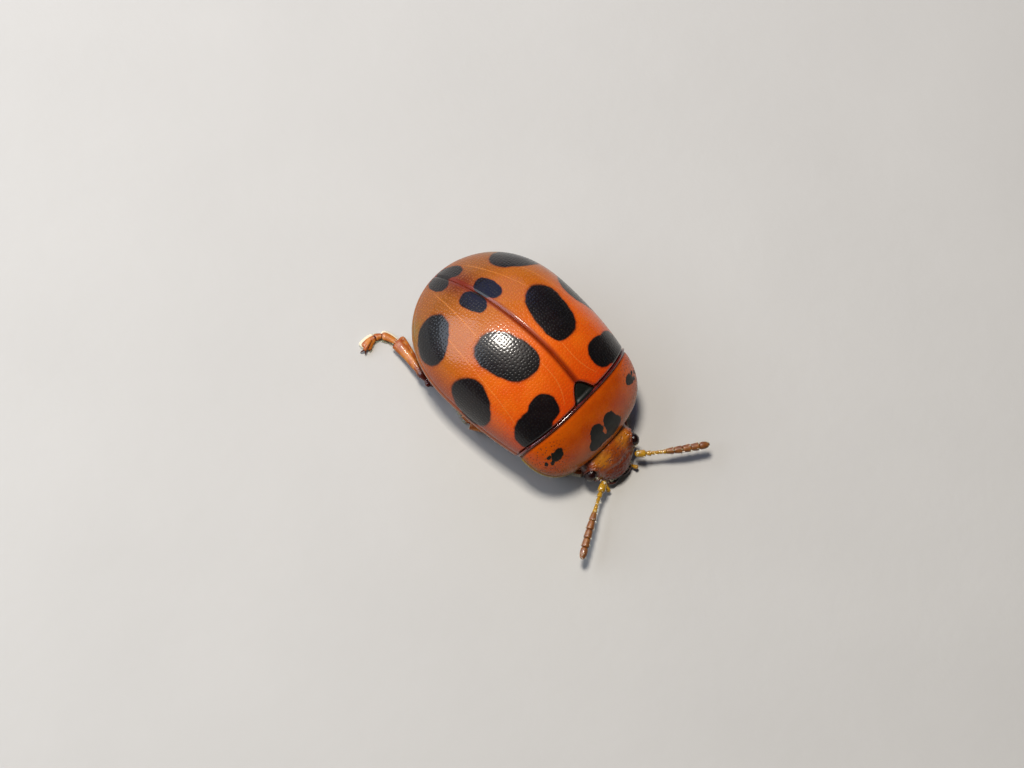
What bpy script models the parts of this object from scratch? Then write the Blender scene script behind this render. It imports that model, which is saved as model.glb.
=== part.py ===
"""A spotted leaf beetle, life size, standing on a level floor.

The beetle is laid out in millimetres in its own body frame: X to its left, Y to its tail, Z up,
with Y = 0 where the wing cases meet the pronotum and Z = 0 at the level of their side margins.
settle() then turns millimetres to metres, and puts the floor at Z = 0 under the middle of the whole.
"""

from math import asin, copysign, cos, pi, radians, sin

import bmesh
import bpy
from mathutils import Matrix, Vector

MILLIMETRE = 0.001
SEAM = 0.04  # between touching plates, and half of it on each side of the middle line

# Wing cases (elytra): a dome whose crest and widest place lie at these shares of its length.
ELYTRA_LENGTH = 6.51
ELYTRA_HALF_WIDTH = 2.97
ELYTRA_BASE_HALF_WIDTH = 2.677
ELYTRA_WIDEST_AT = 0.471
CREST_HEIGHT = 2.49
ELYTRA_BASE_HEIGHT = 1.726
CREST_AT = 0.351
HIND_FALL = (2.07, 1.35)  # how late and how round the back falls to the hind end, seen from the side
HIND_TAPER = (2.395, 2.014)  # the same for the sides, seen from above
SECTION_POWER = 2.15  # 2 would be a plain ellipse across the back
SHOULDER_POWER = 2.6  # the wing cases are squarer across their shoulders
SHOULDERS_END = 0.4
SHELL = 0.5

# Base line shared by pronotum and wing cases: its middle lies further forward than its corners.
BASE_MIDDLE_Y = -0.16
BASE_CORNER_Y = 0.15

SCUTELLUM_HALF_WIDTH = 0.46
SCUTELLUM_APEX_Y = 0.39
SCUTELLUM_THICKNESS = 0.3

# Pronotum, from its base to its front edge.
PRONOTUM_BASE_HALF_WIDTH = 2.7
PRONOTUM_FRONT_HALF_WIDTH = 1.2
PRONOTUM_FRONT_MIDDLE_Y = -1.77
PRONOTUM_FRONT_CORNER_Y = -1.62
PRONOTUM_BASE_TOP = 1.64
PRONOTUM_FRONT_TOP = -0.28
PRONOTUM_BASE_MARGIN = 0.16
PRONOTUM_FRONT_MARGIN = -0.5
PRONOTUM_FALL = (1.25, 1.5)
PRONOTUM_TAPER = (2.3, 2)

# Underside, in shares of the wing cases' length.
THORAX_SPAN = (0.0, 0.47)
ABDOMEN_SPAN = (0.478, 0.985)
BELLY_DEPTH = 0.72
BELLY_POWER = 2.4
PROSTERNUM_SPAN = (0.02, 0.93)  # in shares of the pronotum's length
PROSTERNUM_INSET = 0.93
PROSTERNUM_BASE_DEPTH = 0.86
PROSTERNUM_FRONT_DEPTH = 0.62

# Head, bent down in front of the pronotum and turned a little to its right.
HEAD_TURN = radians(-6)
NECK = Vector((0, -1.8, 0))
HEAD_FRONT_Y = -2.84
HEAD_HALF_WIDTH = 1.13
HEAD_BACK_TOP = -0.36
HEAD_FRONT_TOP = -1.04
HEAD_BOTTOM = -1.22
CLYPEUS_HALF_WIDTH = 0.56
CLYPEUS_THICKNESS = 0.2
CLYPEUS_CURVE = 0.16
HEAD_POWER = 2.3
HEAD_TAPER = 3
FACE_SLOPE = 1.6
CHIN_SLOPE = 4
EYE_CENTRE = (1.12, -2.17, -0.74)
EYE_RADII = (0.24, 0.27, 0.34)
MOUTH_CENTRE = (0, -2.58, -1.3)
MOUTH_RADII = (0.56, 0.32, 0.25)

FLOOR = -1.6
LIMB = 0.5  # no leg or feeler is thinner than this
LIMB_POWER = 2.3
SIDES = {"left": 1, "right": -1}

# Feelers: from the socket beside the clypeus to the tip, bending towards the middle place.
FEELERS = {
    "left": ((0.88, -2.93, -0.97), (1.5, -3.42, -0.93), (2.83, -4.29, -0.93)),
    "right": ((-0.96, -2.75, -0.97), (-1.55, -2.84, -0.93), (-3.4, -3.8, -0.93)),
}

# Legs: hip, knee and ankle, then the place that the foot bends towards and the one where it ends.
LEGS = {
    "fore_left": (
        ((0.66, -0.8, -1.24), (2.2, -0.15, -1.09), (1.82, -1.3, -1.3)),
        ((1.45, -1.72), (1.08, -1.88)),
    ),
    "fore_right": (
        ((-0.66, -0.8, -1.24), (-2.15, -0.1, -1.1), (-1.5, -1.08, -1.3)),
        ((-1.15, -1.5), (-0.8, -1.68)),
    ),
    "mid_left": (
        ((0.95, 1.4, -1.03), (2.5, 0.9, -0.93), (3.0, 1.95, -1.3)),
        ((3.14, 2.6), (3.08, 3.02)),
    ),
    "mid_right": (
        ((-0.95, 1.4, -1.03), (-2.12, 0.8, -0.93), (-2.38, 2.08, -1.3)),
        ((-2.35, 2.6), (-2.08, 2.98)),
    ),
    "hind_left": (
        ((0.95, 2.8, -1.02), (2.55, 3.5, -0.95), (2.1, 5.08, -1.3)),
        ((2.05, 5.7), (2.32, 6.02)),
    ),
    "hind_right": (
        ((-0.95, 2.8, -1.02), (-2.66, 4.12, -0.95), (-2.18, 5.82, -1.28)),
        ((-2.2, 6.95), (-3.28, 6.5)),
    ),
}
COXA_RADII = (0.3, 0.34, 0.2)
ANKLE_GAP = 0.16
SOLE_PRESSED = 0.06  # how much of the foot's roundness the floor flattens

COLOURS = {
    "shell": (0.72, 0.13, 0.015),
    "amber": (0.5, 0.12, 0.02),
    "black": (0.012, 0.01, 0.01),
    "eye": (0.03, 0.008, 0.006),
    "belly": (0.3, 0.07, 0.02),
}


def material(name):
    """Waxed, hard insect skin of one colour."""
    found = bpy.data.materials.get(name)
    if found:
        return found
    made = bpy.data.materials.new(name)
    made.use_nodes = True
    shader = made.node_tree.nodes["Principled BSDF"]
    shader.inputs["Base Color"].default_value = (*COLOURS[name], 1)
    shader.inputs["Roughness"].default_value = 0.22
    shader.inputs["Metallic"].default_value = 0
    return made


def keep(name, bm, colour, cutter=False):
    """Closes the work on a mesh and puts it in the beetle's collection, or among the cutters."""
    bmesh.ops.remove_doubles(bm, verts=bm.verts, dist=0.001)
    bmesh.ops.recalc_face_normals(bm, faces=bm.faces)
    mesh = bpy.data.meshes.new(name)
    bm.to_mesh(mesh)
    bm.free()
    mesh.shade_smooth()
    mesh.set_sharp_from_angle(angle=0.9)
    mesh.materials.append(material(colour))
    made = bpy.data.objects.new(name, mesh)
    bpy.data.collections["cutters" if cutter else "leaf_beetle"].objects.link(made)
    made.hide_render = cutter
    made.display_type = "WIRE" if cutter else "TEXTURED"
    return made


def mix(start, end, share):
    return start + (end - start) * share


def arch(angle, power=SECTION_POWER):
    """Sideways and upward shares of a superellipse, with the angle taken from straight up."""
    side, up = sin(angle), cos(angle)
    return copysign(abs(side) ** (2 / power), side), copysign(abs(up) ** (2 / power), up)


def plate(name, along, across, place, colour):
    """A closed plate: a flat slab of cells bent into shape by place(along share, across share, depth share)."""
    bm = bmesh.new()
    bmesh.ops.create_grid(bm, x_segments=along, y_segments=across, size=0.5)
    bmesh.ops.solidify(bm, geom=bm.faces[:], thickness=1)
    level = max(v.co.z for v in bm.verts) - 0.5
    for vertex in bm.verts:
        x, y, z = vertex.co
        vertex.co = place(min(max(x + 0.5, 0), 1), min(max(y + 0.5, 0), 1), int(z > level))
    return keep(name, bm, colour)


def loft(name, rings, colour, cutter=False):
    """A closed body through rings of points, with a point in the middle of each end."""
    bm = bmesh.new()
    loops = [[bm.verts.new(point) for point in ring] for ring in rings]
    count = len(loops[0])
    for near, far in zip(loops, loops[1:]):
        for i in range(count):
            j = (i + 1) % count
            bm.faces.new((near[i], near[j], far[j], far[i]))
    for loop in (loops[0], loops[-1]):
        middle = bm.verts.new(sum((vertex.co for vertex in loop), Vector()) / count)
        for i in range(count):
            bm.faces.new((loop[i], loop[(i + 1) % count], middle))
    return keep(name, bm, colour, cutter)


def grown_ball(name, centre, radii):
    """The cutter that leaves a seam round a ball."""
    return ball(name, centre, [radius + SEAM for radius in radii], "amber", cutter=True)


def carve(made, cutter):
    """Cuts one piece to the shape of the piece that fits into it."""
    cut = made.modifiers.new(cutter.name, "BOOLEAN")
    cut.operation = "DIFFERENCE"
    cut.object = cutter


def ball(name, centre, radii, colour, cutter=False):
    bm = bmesh.new()
    bmesh.ops.create_uvsphere(bm, u_segments=12, v_segments=7, radius=1)
    for vertex in bm.verts:
        vertex.co = Vector(centre) + Vector([a * b for a, b in zip(vertex.co, radii)])
    return keep(name, bm, colour, cutter)


def falling(share, powers):
    """1 at the start and 0 at the end, along a superellipse whose two powers may differ."""
    late, round_end = powers
    return (1 - share**late) ** (1 / round_end)


def elytra_height(share):
    if share < CREST_AT:
        rise = ((CREST_AT - share) / CREST_AT) ** 2
        return mix(CREST_HEIGHT, ELYTRA_BASE_HEIGHT, rise)
    return CREST_HEIGHT * falling((share - CREST_AT) / (1 - CREST_AT), HIND_FALL)


def elytra_half_width(share):
    if share < ELYTRA_WIDEST_AT:
        taper = ((ELYTRA_WIDEST_AT - share) / ELYTRA_WIDEST_AT) ** 2
        return mix(ELYTRA_HALF_WIDTH, ELYTRA_BASE_HALF_WIDTH, taper)
    return ELYTRA_HALF_WIDTH * falling((share - ELYTRA_WIDEST_AT) / (1 - ELYTRA_WIDEST_AT), HIND_TAPER)


def section_power(share):
    shoulders = max(1 - share / SHOULDERS_END, 0) ** 2
    return mix(SECTION_POWER, SHOULDER_POWER, shoulders)


def base_line(side):
    """Y of the line where pronotum and wing cases meet, at a share of the half width."""
    return mix(BASE_MIDDLE_Y, BASE_CORNER_Y, abs(side) ** 3)


def scutellum_half_width(y):
    share = (SCUTELLUM_APEX_Y - y) / (SCUTELLUM_APEX_Y - BASE_MIDDLE_Y)
    return SCUTELLUM_HALF_WIDTH * max(share, 0)


def elytron(side, sign):
    apex_share = SCUTELLUM_APEX_Y / ELYTRA_LENGTH
    rows = 20
    front_rows = 2 / rows

    def place(along, across, depth):
        # The first two rows end at the scutellum's tip, and the rest crowd towards the hind end.
        if along <= front_rows:
            share = apex_share * along / front_rows
        else:
            share = mix(apex_share, 1, sin((along - front_rows) / (1 - front_rows) * pi / 2))
        width = elytra_half_width(share) * (1 - depth * SHELL / ELYTRA_HALF_WIDTH)
        height = elytra_height(share) * (1 - depth * SHELL / CREST_HEIGHT)
        length = ELYTRA_LENGTH - depth * SHELL
        notch = scutellum_half_width(share * length + BASE_MIDDLE_Y * (1 - share / apex_share))
        power = section_power(share)
        start = asin(min((notch + SEAM * (notch > 0)) / max(width, 1e-6), 1) ** (power / 2))
        x, z = arch(mix(start, pi / 2, across), power)
        y = share * length + (base_line(x) + SEAM / 2) * (1 - share) ** 4
        return sign * (x * width + SEAM / 2), y, z * height

    return plate(f"elytron_{side}", rows, 12, place, "shell")


def scutellum():
    """A three-sided prism, tilted to lie in the slope of the back."""
    front_y, front_z = BASE_MIDDLE_Y + SEAM, ELYTRA_BASE_HEIGHT - 0.06
    back_z = elytra_height(SCUTELLUM_APEX_Y / ELYTRA_LENGTH)
    corners = (
        (-SCUTELLUM_HALF_WIDTH + SEAM, front_y, front_z),
        (SCUTELLUM_HALF_WIDTH - SEAM, front_y, front_z),
        (0, SCUTELLUM_APEX_Y - 2 * SEAM, back_z),
    )
    bm = bmesh.new()
    bmesh.ops.create_cone(bm, cap_ends=True, segments=3, radius1=1, radius2=1, depth=1)
    ordered = sorted({tuple(round(c, 4) for c in v.co.xy) for v in bm.verts})
    for vertex in bm.verts:
        which = ordered.index(tuple(round(c, 4) for c in vertex.co.xy))
        drop = SCUTELLUM_THICKNESS * (vertex.co.z < 0)
        vertex.co = Vector(corners[which]) - Vector((0, 0, drop))
    return keep("scutellum", bm, "black")


def pronotum_half_width(share):
    spread = PRONOTUM_BASE_HALF_WIDTH - PRONOTUM_FRONT_HALF_WIDTH
    return PRONOTUM_FRONT_HALF_WIDTH + spread * falling(share, PRONOTUM_TAPER)


def pronotum_top(share):
    drop = PRONOTUM_BASE_TOP - PRONOTUM_FRONT_TOP
    return PRONOTUM_FRONT_TOP + drop * falling(share, PRONOTUM_FALL)


def pronotum_point(share, angle, sunk=0.0):
    """A point on the pronotum's upper face, or as far below its middle line as it is sunk."""
    x, up = arch(angle)
    base_y = base_line(x) - SEAM / 2
    front_y = mix(PRONOTUM_FRONT_MIDDLE_Y, PRONOTUM_FRONT_CORNER_Y, x * x)
    margin = mix(PRONOTUM_BASE_MARGIN, PRONOTUM_FRONT_MARGIN, share)
    z = margin + (pronotum_top(share) - margin) * up
    return Vector((x * pronotum_half_width(share), mix(base_y, front_y, share), z - sunk * cos(angle)))


def pronotum():
    def place(along, across, depth):
        share = sin(along * pi / 2)
        return pronotum_point(share, mix(-pi / 2, pi / 2, across), depth * SHELL)

    return plate("pronotum", 9, 20, place, "shell")


def under_ring(upper, depth, count=24):
    """A closed ring: upper(angle) over the top, and below it a shallow arch of this depth."""
    half = count // 2
    ring = [upper(mix(-pi / 2, pi / 2, i / half)) for i in range(half + 1)]
    left, right = ring[0], ring[-1]
    for i in range(1, half):
        side, down = arch(mix(pi / 2, -pi / 2, i / half), BELLY_POWER)
        middle = (left + right) / 2
        width = (right.x - left.x) / 2
        ring.append(Vector((middle.x + side * width, middle.y, middle.z - down * depth)))
    return ring


def prosternum():
    """What the pronotum covers: the underside of the first ring of the thorax."""
    rings = []
    count = 6
    for i in range(count):
        share = mix(*PROSTERNUM_SPAN, i / (count - 1))

        def upper(angle, share=share):
            point = pronotum_point(share, angle, SHELL)
            return Vector((point.x * PROSTERNUM_INSET, point.y, point.z - 2 * SEAM))

        rings.append(under_ring(upper, mix(PROSTERNUM_BASE_DEPTH, PROSTERNUM_FRONT_DEPTH, share)))
    return loft("prosternum", rings, "belly")


def trunk(name, span, count, closing=False):
    """A length of the body under the wing cases, whose rings crowd towards a closing hind end."""
    rings = []
    for i in range(count):
        along = i / (count - 1)
        share = mix(*span, sin(along * pi / 2) if closing else along)
        width = elytra_half_width(share) * (1 - (SHELL + SEAM) / ELYTRA_HALF_WIDTH)
        height = elytra_height(share) * (1 - (SHELL + SEAM) / CREST_HEIGHT)
        y = share * (ELYTRA_LENGTH - SHELL - SEAM) + SEAM

        def upper(angle, width=width, height=height, y=y):
            x, up = arch(angle)
            return Vector((x * width, y + base_line(x) * max(1 - y, 0) ** 3, up * height))

        rings.append(under_ring(upper, min(BELLY_DEPTH, width / 2)))
    return loft(name, rings, "belly")


def turned(point, share=1.0):
    """A point of the head, turned about the neck by a share of the head's turn."""
    return Matrix.Rotation(HEAD_TURN * share, 3, "Z") @ (Vector(point) - NECK) + NECK


def head():
    """Rings from the front edge of the pronotum down to the clypeus, with a socket cut for each eye."""
    rings = []
    count = 10
    around = 24
    for i in range(count):
        share = sin(i / (count - 1) * pi / 2)
        width = mix(HEAD_HALF_WIDTH, CLYPEUS_HALF_WIDTH, share**HEAD_TAPER)
        top = mix(HEAD_BACK_TOP, HEAD_FRONT_TOP, share**FACE_SLOPE)
        bottom = mix(HEAD_BOTTOM, HEAD_FRONT_TOP - CLYPEUS_THICKNESS, share**CHIN_SLOPE)
        ring = []
        for j in range(around):
            side, up = arch(j / around * 2 * pi, HEAD_POWER)
            back = mix(PRONOTUM_FRONT_MIDDLE_Y, PRONOTUM_FRONT_CORNER_Y, side * side) - 2.2 * SEAM
            y = mix(back, HEAD_FRONT_Y + CLYPEUS_CURVE * side * side, share)
            ring.append(turned((side * width, y, mix(bottom, top, (up + 1) / 2)), share))
        rings.append(ring)
    made = loft("head", rings, "amber")
    for side, sign in SIDES.items():
        x, y, z = EYE_CENTRE
        carve(made, grown_ball(f"socket_{side}", turned((sign * x, y, z)), EYE_RADII))
    grown_rings = []
    for ring in rings:
        middle = sum(ring, Vector()) / around + Vector((0, SEAM, 0))
        grown_rings.append([point + (point - middle).normalized() * 1.5 * SEAM for point in ring])
    mouth = ball("mouthparts", turned(MOUTH_CENTRE), MOUTH_RADII, "amber")
    carve(mouth, loft("gape", grown_rings, "amber", cutter=True))


def limb(name, points, width, height, floor=None, cutter=False):
    """A rounded length through points, half as wide and high as width and height give at each share of it."""
    rings = []
    sides = 10
    grow = SEAM if cutter else 0
    count = len(points)
    for i, point in enumerate(points):
        share = i / (count - 1)
        ahead = (points[min(i + 1, count - 1)] - points[max(i - 1, 0)]).normalized()
        across = ahead.cross(Vector((0, 0, 1))).normalized()
        upward = across.cross(ahead)
        ring = []
        for j in range(sides):
            side, up = arch((j + 0.5) / sides * 2 * pi, LIMB_POWER)
            at = point + across * side * (width(share) + grow) + upward * up * (height(share) + grow)
            at.z = at.z if floor is None else max(at.z, floor)
            ring.append(at)
        rings.append(ring)
    return loft(name, rings, "amber", cutter)


def rounded(share, end=0.16):
    """1 along the middle, falling as a quarter circle towards either end."""
    near = min(share, 1 - share) / end
    return 1 if near >= 1 else max(1 - (1 - near) ** 2, 0.12) ** 0.5


def bend(start, middle, end, share):
    """A point of the curve that leaves start and reaches end, drawn towards middle."""
    start, middle, end = Vector(start), Vector(middle), Vector(end)
    return start * (1 - share) ** 2 + middle * 2 * share * (1 - share) + end * share**2


def eased(share):
    """The share of a length, crowded towards both ends, so that its rounded ends get more rings."""
    return (1 - cos(pi * share)) / 2


def straight(start, end, gap_start, gap_end, count=8):
    """Places between two joints, less the room that each joint takes."""
    start, end = Vector(start), Vector(end)
    way = (end - start).normalized()
    first, last = start + way * gap_start, end - way * gap_end
    return [first.lerp(last, eased(i / (count - 1))) for i in range(count)]


def thickness(first, last, swell=0.0):
    """Half the thickness along a limb, rounded off at both ends."""

    def at(share):
        s = eased(share)
        return (mix(first, last, s) + swell * sin(pi * s)) * rounded(s)

    return at


def leg(name, joints, sole):
    """Each length is carved to fit the rounded end of the next one, so that the joints close."""
    hip, knee, ankle = joints
    half = LIMB / 2
    ball(f"{name}_coxa", hip, COXA_RADII, "amber")
    thigh = straight(hip, knee, 0.12, 0.1)
    femur = limb(f"{name}_femur", thigh, thickness(half, half, 0.07), thickness(half, half, 0.02))
    carve(femur, grown_ball(f"{name}_hip_cut", hip, COXA_RADII))
    shin = straight(knee, ankle, -0.05, 0)
    shape = thickness(half, half + 0.05), thickness(half, half), FLOOR + 0.03
    tibia = limb(f"{name}_tibia", shin, *shape)
    carve(femur, limb(f"{name}_knee_cut", straight(knee, ankle, -0.05 - SEAM, 0), *shape, cutter=True))

    foot_z = FLOOR + half - SOLE_PRESSED
    bend_at, toe = (Vector((*place, foot_z)) for place in sole)
    heel = Vector((*ankle[:2], foot_z))
    heel += (bend_at - heel).normalized() * ANKLE_GAP
    count = 12
    foot = [bend(heel, bend_at, toe, eased(i / (count - 1))) for i in range(count)]

    def lobes(share):
        """Three lobed joints and the slim one that carries the claws."""
        s = eased(share)
        return (half - 0.02 + 0.06 * abs(sin(3 * pi * s))) * rounded(s)

    shape = lobes, thickness(half + 0.02, half), FLOOR
    limb(f"{name}_tarsus", foot, *shape)
    carve(tibia, limb(f"{name}_ankle_cut", foot, *shape, cutter=True))


def feeler(side, socket, middle, tip):
    """A tube along one smooth bend."""
    curve = bpy.data.curves.new(f"antenna_{side}", "CURVE")
    curve.dimensions = "3D"
    curve.bevel_depth = LIMB / 2
    curve.bevel_resolution = 2
    curve.use_fill_caps = True
    line = curve.splines.new("POLY")
    count = 10
    line.points.add(count - 1)
    for i in range(count):
        share = eased(i / (count - 1))
        line.points[i].co = (*bend(socket, middle, tip, share), 1)
        line.points[i].radius = 0.7 + 0.3 * rounded(share)
    curve.materials.append(material("amber"))
    made = bpy.data.objects.new(f"antenna_{side}", curve)
    bpy.data.collections["leaf_beetle"].objects.link(made)


def settle():
    """Metres, with the floor at Z = 0 under the middle of the whole."""
    bpy.context.view_layer.update()
    parts = list(bpy.data.collections["leaf_beetle"].objects)
    corners = [corner for part in parts for corner in part.bound_box]
    low, high = ([pick(corner[i] for corner in corners) for i in (0, 1)] for pick in (min, max))
    for part in parts + list(bpy.data.collections["cutters"].objects):
        part.scale = (MILLIMETRE,) * 3
        part.location = Vector((-(low[0] + high[0]) / 2, -(low[1] + high[1]) / 2, -FLOOR)) * MILLIMETRE


def main():
    for old in list(bpy.data.objects):
        bpy.data.objects.remove(old)
    for collection in ("leaf_beetle", "cutters"):
        bpy.context.scene.collection.children.link(bpy.data.collections.new(collection))
    x, y, z = EYE_CENTRE
    for side, sign in SIDES.items():
        elytron(side, sign)
        ball(f"eye_{side}", turned((sign * x, y, z)), EYE_RADII, "eye")
        feeler(side, *FEELERS[side])
    scutellum()
    pronotum()
    prosternum()
    trunk("thorax", THORAX_SPAN, 6)
    trunk("abdomen", ABDOMEN_SPAN, 10, closing=True)
    head()
    for name, (joints, sole) in LEGS.items():
        leg(name, joints, sole)
    settle()


main()
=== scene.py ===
from math import cos, pi, radians, sin

import bmesh
import bpy
import numpy as np
from mathutils import Matrix, Vector


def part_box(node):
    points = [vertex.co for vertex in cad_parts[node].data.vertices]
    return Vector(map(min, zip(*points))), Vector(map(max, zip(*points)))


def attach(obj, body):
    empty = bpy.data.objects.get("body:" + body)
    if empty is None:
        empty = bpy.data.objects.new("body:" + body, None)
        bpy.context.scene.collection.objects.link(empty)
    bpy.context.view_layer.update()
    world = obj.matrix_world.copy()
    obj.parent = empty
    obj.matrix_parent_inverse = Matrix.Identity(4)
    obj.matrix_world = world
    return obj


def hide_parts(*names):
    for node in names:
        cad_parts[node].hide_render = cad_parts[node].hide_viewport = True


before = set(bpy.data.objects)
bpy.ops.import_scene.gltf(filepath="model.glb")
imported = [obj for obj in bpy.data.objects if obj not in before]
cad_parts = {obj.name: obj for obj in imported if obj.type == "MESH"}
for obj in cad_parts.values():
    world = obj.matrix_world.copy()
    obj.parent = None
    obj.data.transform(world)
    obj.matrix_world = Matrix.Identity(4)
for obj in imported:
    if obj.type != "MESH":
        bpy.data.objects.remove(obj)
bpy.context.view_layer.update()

millimetre = 0.001
chance = np.random.default_rng(12)

# The beetle is drawn in millimetres: X to its left, Y to its tail, Z up, from the place where
# the wing cases meet the pronotum, at the height of their side edges.
wingCase = {
    "length": 6.51,
    "halfWidth": 2.97,
    "baseHalfWidth": 2.677,
    "widestAt": 0.471,  # share of the length, like crestAt and shouldersEnd
    "crestHeight": 2.49,
    "baseHeight": 1.726,
    "crestAt": 0.351,
    "hindFall": (2.07, 1.35),
    "hindTaper": (2.395, 2.014),
    "squareness": 2.15,  # 2 is a round arch
    "shoulderSquareness": 2.6,
    "shouldersEnd": 0.4,
    "baseMiddleY": -0.16,
    "baseCornerY": 0.15,
    "thickness": 0.09,
    "halfGap": 0.006,
    "seam": 0.02,
    "sutureDip": 0.045,
    "sutureWidth": 0.055,
    "baseDip": 0.06,
    "gutterDepth": 0.03,
    "gutterAt": 0.19,
    "gutterWidth": 0.06,
    "beadRadius": 0.04,
    "foldWidth": 0.34,
    "rows": 400,
    "columns": 182,
    "lastRowAt": 0.9998,
}
leftLow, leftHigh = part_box("elytron_left")
rightLow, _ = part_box("elytron_right")
bodyOrigin = np.array((
    (leftHigh.x + rightLow.x) / 2,
    leftHigh.y - wingCase["length"] * millimetre,
    leftLow.z,
)) / millimetre
floorHeight = -bodyOrigin[2]
clearance = 0.002  # soft pads and claws stop this far above the floor
print("frame loaded, floor", round(float(floorHeight), 3), "mm below the side edges")


def mix(start, end, share):
    return start + (end - start) * share


def bell(distance, width):
    return np.exp(-((distance / width) ** 2))


def ramp(value, low, high):
    # 0 below low, 1 above high, eased between
    share = np.clip((value - low) / (high - low), 0, 1)
    return share * share * (3 - 2 * share)


def arch(angle, power):
    side, up = np.sin(angle), np.cos(angle)
    return (np.sign(side) * np.abs(side) ** (2 / power), np.sign(up) * np.abs(up) ** (2 / power))


def falling(share, powers):
    return (1 - np.clip(share, 0, 1) ** powers[0]) ** (1 / powers[1])


def unit(vectors):
    return vectors / np.maximum(np.linalg.norm(vectors, axis=-1, keepdims=True), 1e-9)


def stacked(*axes):
    return np.stack(np.broadcast_arrays(*axes), -1)


def eased(count):
    # shares that crowd towards both ends
    return (1 - np.cos(np.linspace(0, pi, count))) / 2


def rounded(share, near=0.12, far=0.12):
    # 1 along the middle, falling as a quarter circle towards either end
    start = np.clip(share / near, 0, 1)
    end = np.clip((1 - share) / far, 0, 1)
    return np.sqrt(np.maximum(1 - (1 - start) ** 2, 0.02)) * np.sqrt(np.maximum(1 - (1 - end) ** 2, 0.02))


def bend(start, middle, end, share):
    start, middle, end = (np.asarray(p, float) for p in (start, middle, end))
    share = np.asarray(share)[:, None]
    return start * (1 - share) ** 2 + middle * 2 * share * (1 - share) + end * share**2


def reachAlong(path):
    return np.concatenate([[0], np.cumsum(np.linalg.norm(np.diff(path, axis=0), axis=1))])


def resampled(where, reach, line):
    # the points of a line at the given distances along it
    return np.stack([np.interp(where, reach, line[:, i]) for i in range(3)], -1)


def surfaceNormals(grid, centre):
    normals = unit(np.cross(np.gradient(grid, axis=0), np.gradient(grid, axis=1)))
    outward = np.sign(((grid - centre) * normals).sum(-1, keepdims=True))
    return normals * np.where(outward == 0, 1, outward)


def pathFrames(path):
    # the direction along a path, and the ones to its side and above it
    ahead = unit(np.gradient(path, axis=0))
    side = unit(np.cross(ahead, (0, 0, 1)))
    return ahead, side, np.cross(side, ahead)


def loft(rings, flow=None, pitted=None):
    # a closed body through rings of points, with a fan at each end; flow and pitted give the material
    # three values and the share of pits at each point, and a shape is (points, faces, flow, pitted)
    rings = np.asarray(rings, float)
    rows, around = rings.shape[:2]
    flow = rings if flow is None else flow
    pitted = np.zeros((rows, around)) if pitted is None else pitted
    ends = [0, rows - 1]
    points = np.concatenate([rings.reshape(-1, 3), rings[ends].mean(axis=1)])
    flows = np.concatenate([flow.reshape(-1, 3), flow[ends].mean(axis=1)])
    pits = np.concatenate([pitted.reshape(-1), np.zeros(2)])
    start = np.arange(rows - 1)[:, None] * around
    near = np.arange(around)[None, :]
    beside = (near + 1) % around
    quads = np.stack([start + near, start + beside, start + around + beside, start + around + near], -1)
    faces = quads.reshape(-1, 4).tolist()
    last = (rows - 1) * around
    for i in range(around):
        j = (i + 1) % around
        faces.append([j, i, rows * around])
        faces.append([last + i, last + j, rows * around + 1])
    return points, faces, flows, pits


def limb(path, halfWidth, halfHeight, around=18, groove=None, floor=None, slant=0.0):
    # a rounded length along a path, with angle, distance and share as its flow;
    # groove(angle, share) gives how much of the radius is taken away
    path = np.asarray(path, float)
    ahead, side, up = pathFrames(path)
    angle = np.arange(around) / around * 2 * pi
    share = np.linspace(0, 1, len(path))
    cut = 1 if groove is None else 1 - groove(angle[None, :], share[:, None])
    wide = np.asarray(halfWidth)[:, None] * np.sin(angle) * cut
    high = np.asarray(halfHeight)[:, None] * np.cos(angle) * cut
    rings = path[:, None] + side[:, None] * wide[..., None] + up[:, None] * high[..., None]
    rings = rings + ahead[:, None] * (slant * wide * ramp(share, 0.8, 1.0)[:, None])[..., None]
    if floor is not None:
        rings[..., 2] = np.maximum(rings[..., 2], floor)
    return loft(rings, stacked(angle[None, :], reachAlong(path)[:, None], share[:, None]))


def ball(centre, radii, around=36, rows=24):
    up = np.linspace(0.04, pi - 0.04, rows)[:, None]
    turn = (np.arange(around) / around * 2 * pi)[None, :]
    rings = stacked(np.sin(up) * np.cos(turn), np.sin(up) * np.sin(turn), np.cos(up))
    return loft(rings * np.asarray(radii) + np.asarray(centre), rings, np.ones(rings.shape[:2]))


def bristles(roots, ways, lengths, thickness, droop=0.25):
    # thin curved three-sided cones, all in one shape
    roots, ways = np.asarray(roots, float), unit(np.asarray(ways, float))
    lengths = np.broadcast_to(lengths, (len(roots),))
    side = unit(np.cross(ways, (0.31, 0.17, 0.93)))
    up = np.cross(side, ways)
    down = np.array((0, 0, 1)) * (lengths * droop)[:, None]
    points = []
    for along, width in ((0.0, 1.0), (0.35, 0.85), (0.7, 0.55)):
        middle = roots + ways * (lengths * along)[:, None] - down * along**2
        for k in range(3):
            turn = k / 3 * 2 * pi
            points.append(middle + (side * cos(turn) + up * sin(turn)) * thickness / 2 * width)
    points.append(roots + ways * lengths[:, None] - down)
    count = len(points)
    points = np.stack(points, 1).reshape(-1, 3)
    pattern = [[2, 1, 0]]
    for row in (0, 3):
        pattern += [[row + k, row + (k + 1) % 3, row + 3 + (k + 1) % 3, row + 3 + k] for k in range(3)]
    pattern += [[6 + k, 6 + (k + 1) % 3, 9] for k in range(3)]
    faces = [[i + start * count for i in face] for start in range(len(roots)) for face in pattern]
    return points, faces, points.copy(), np.zeros(len(points))


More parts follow.
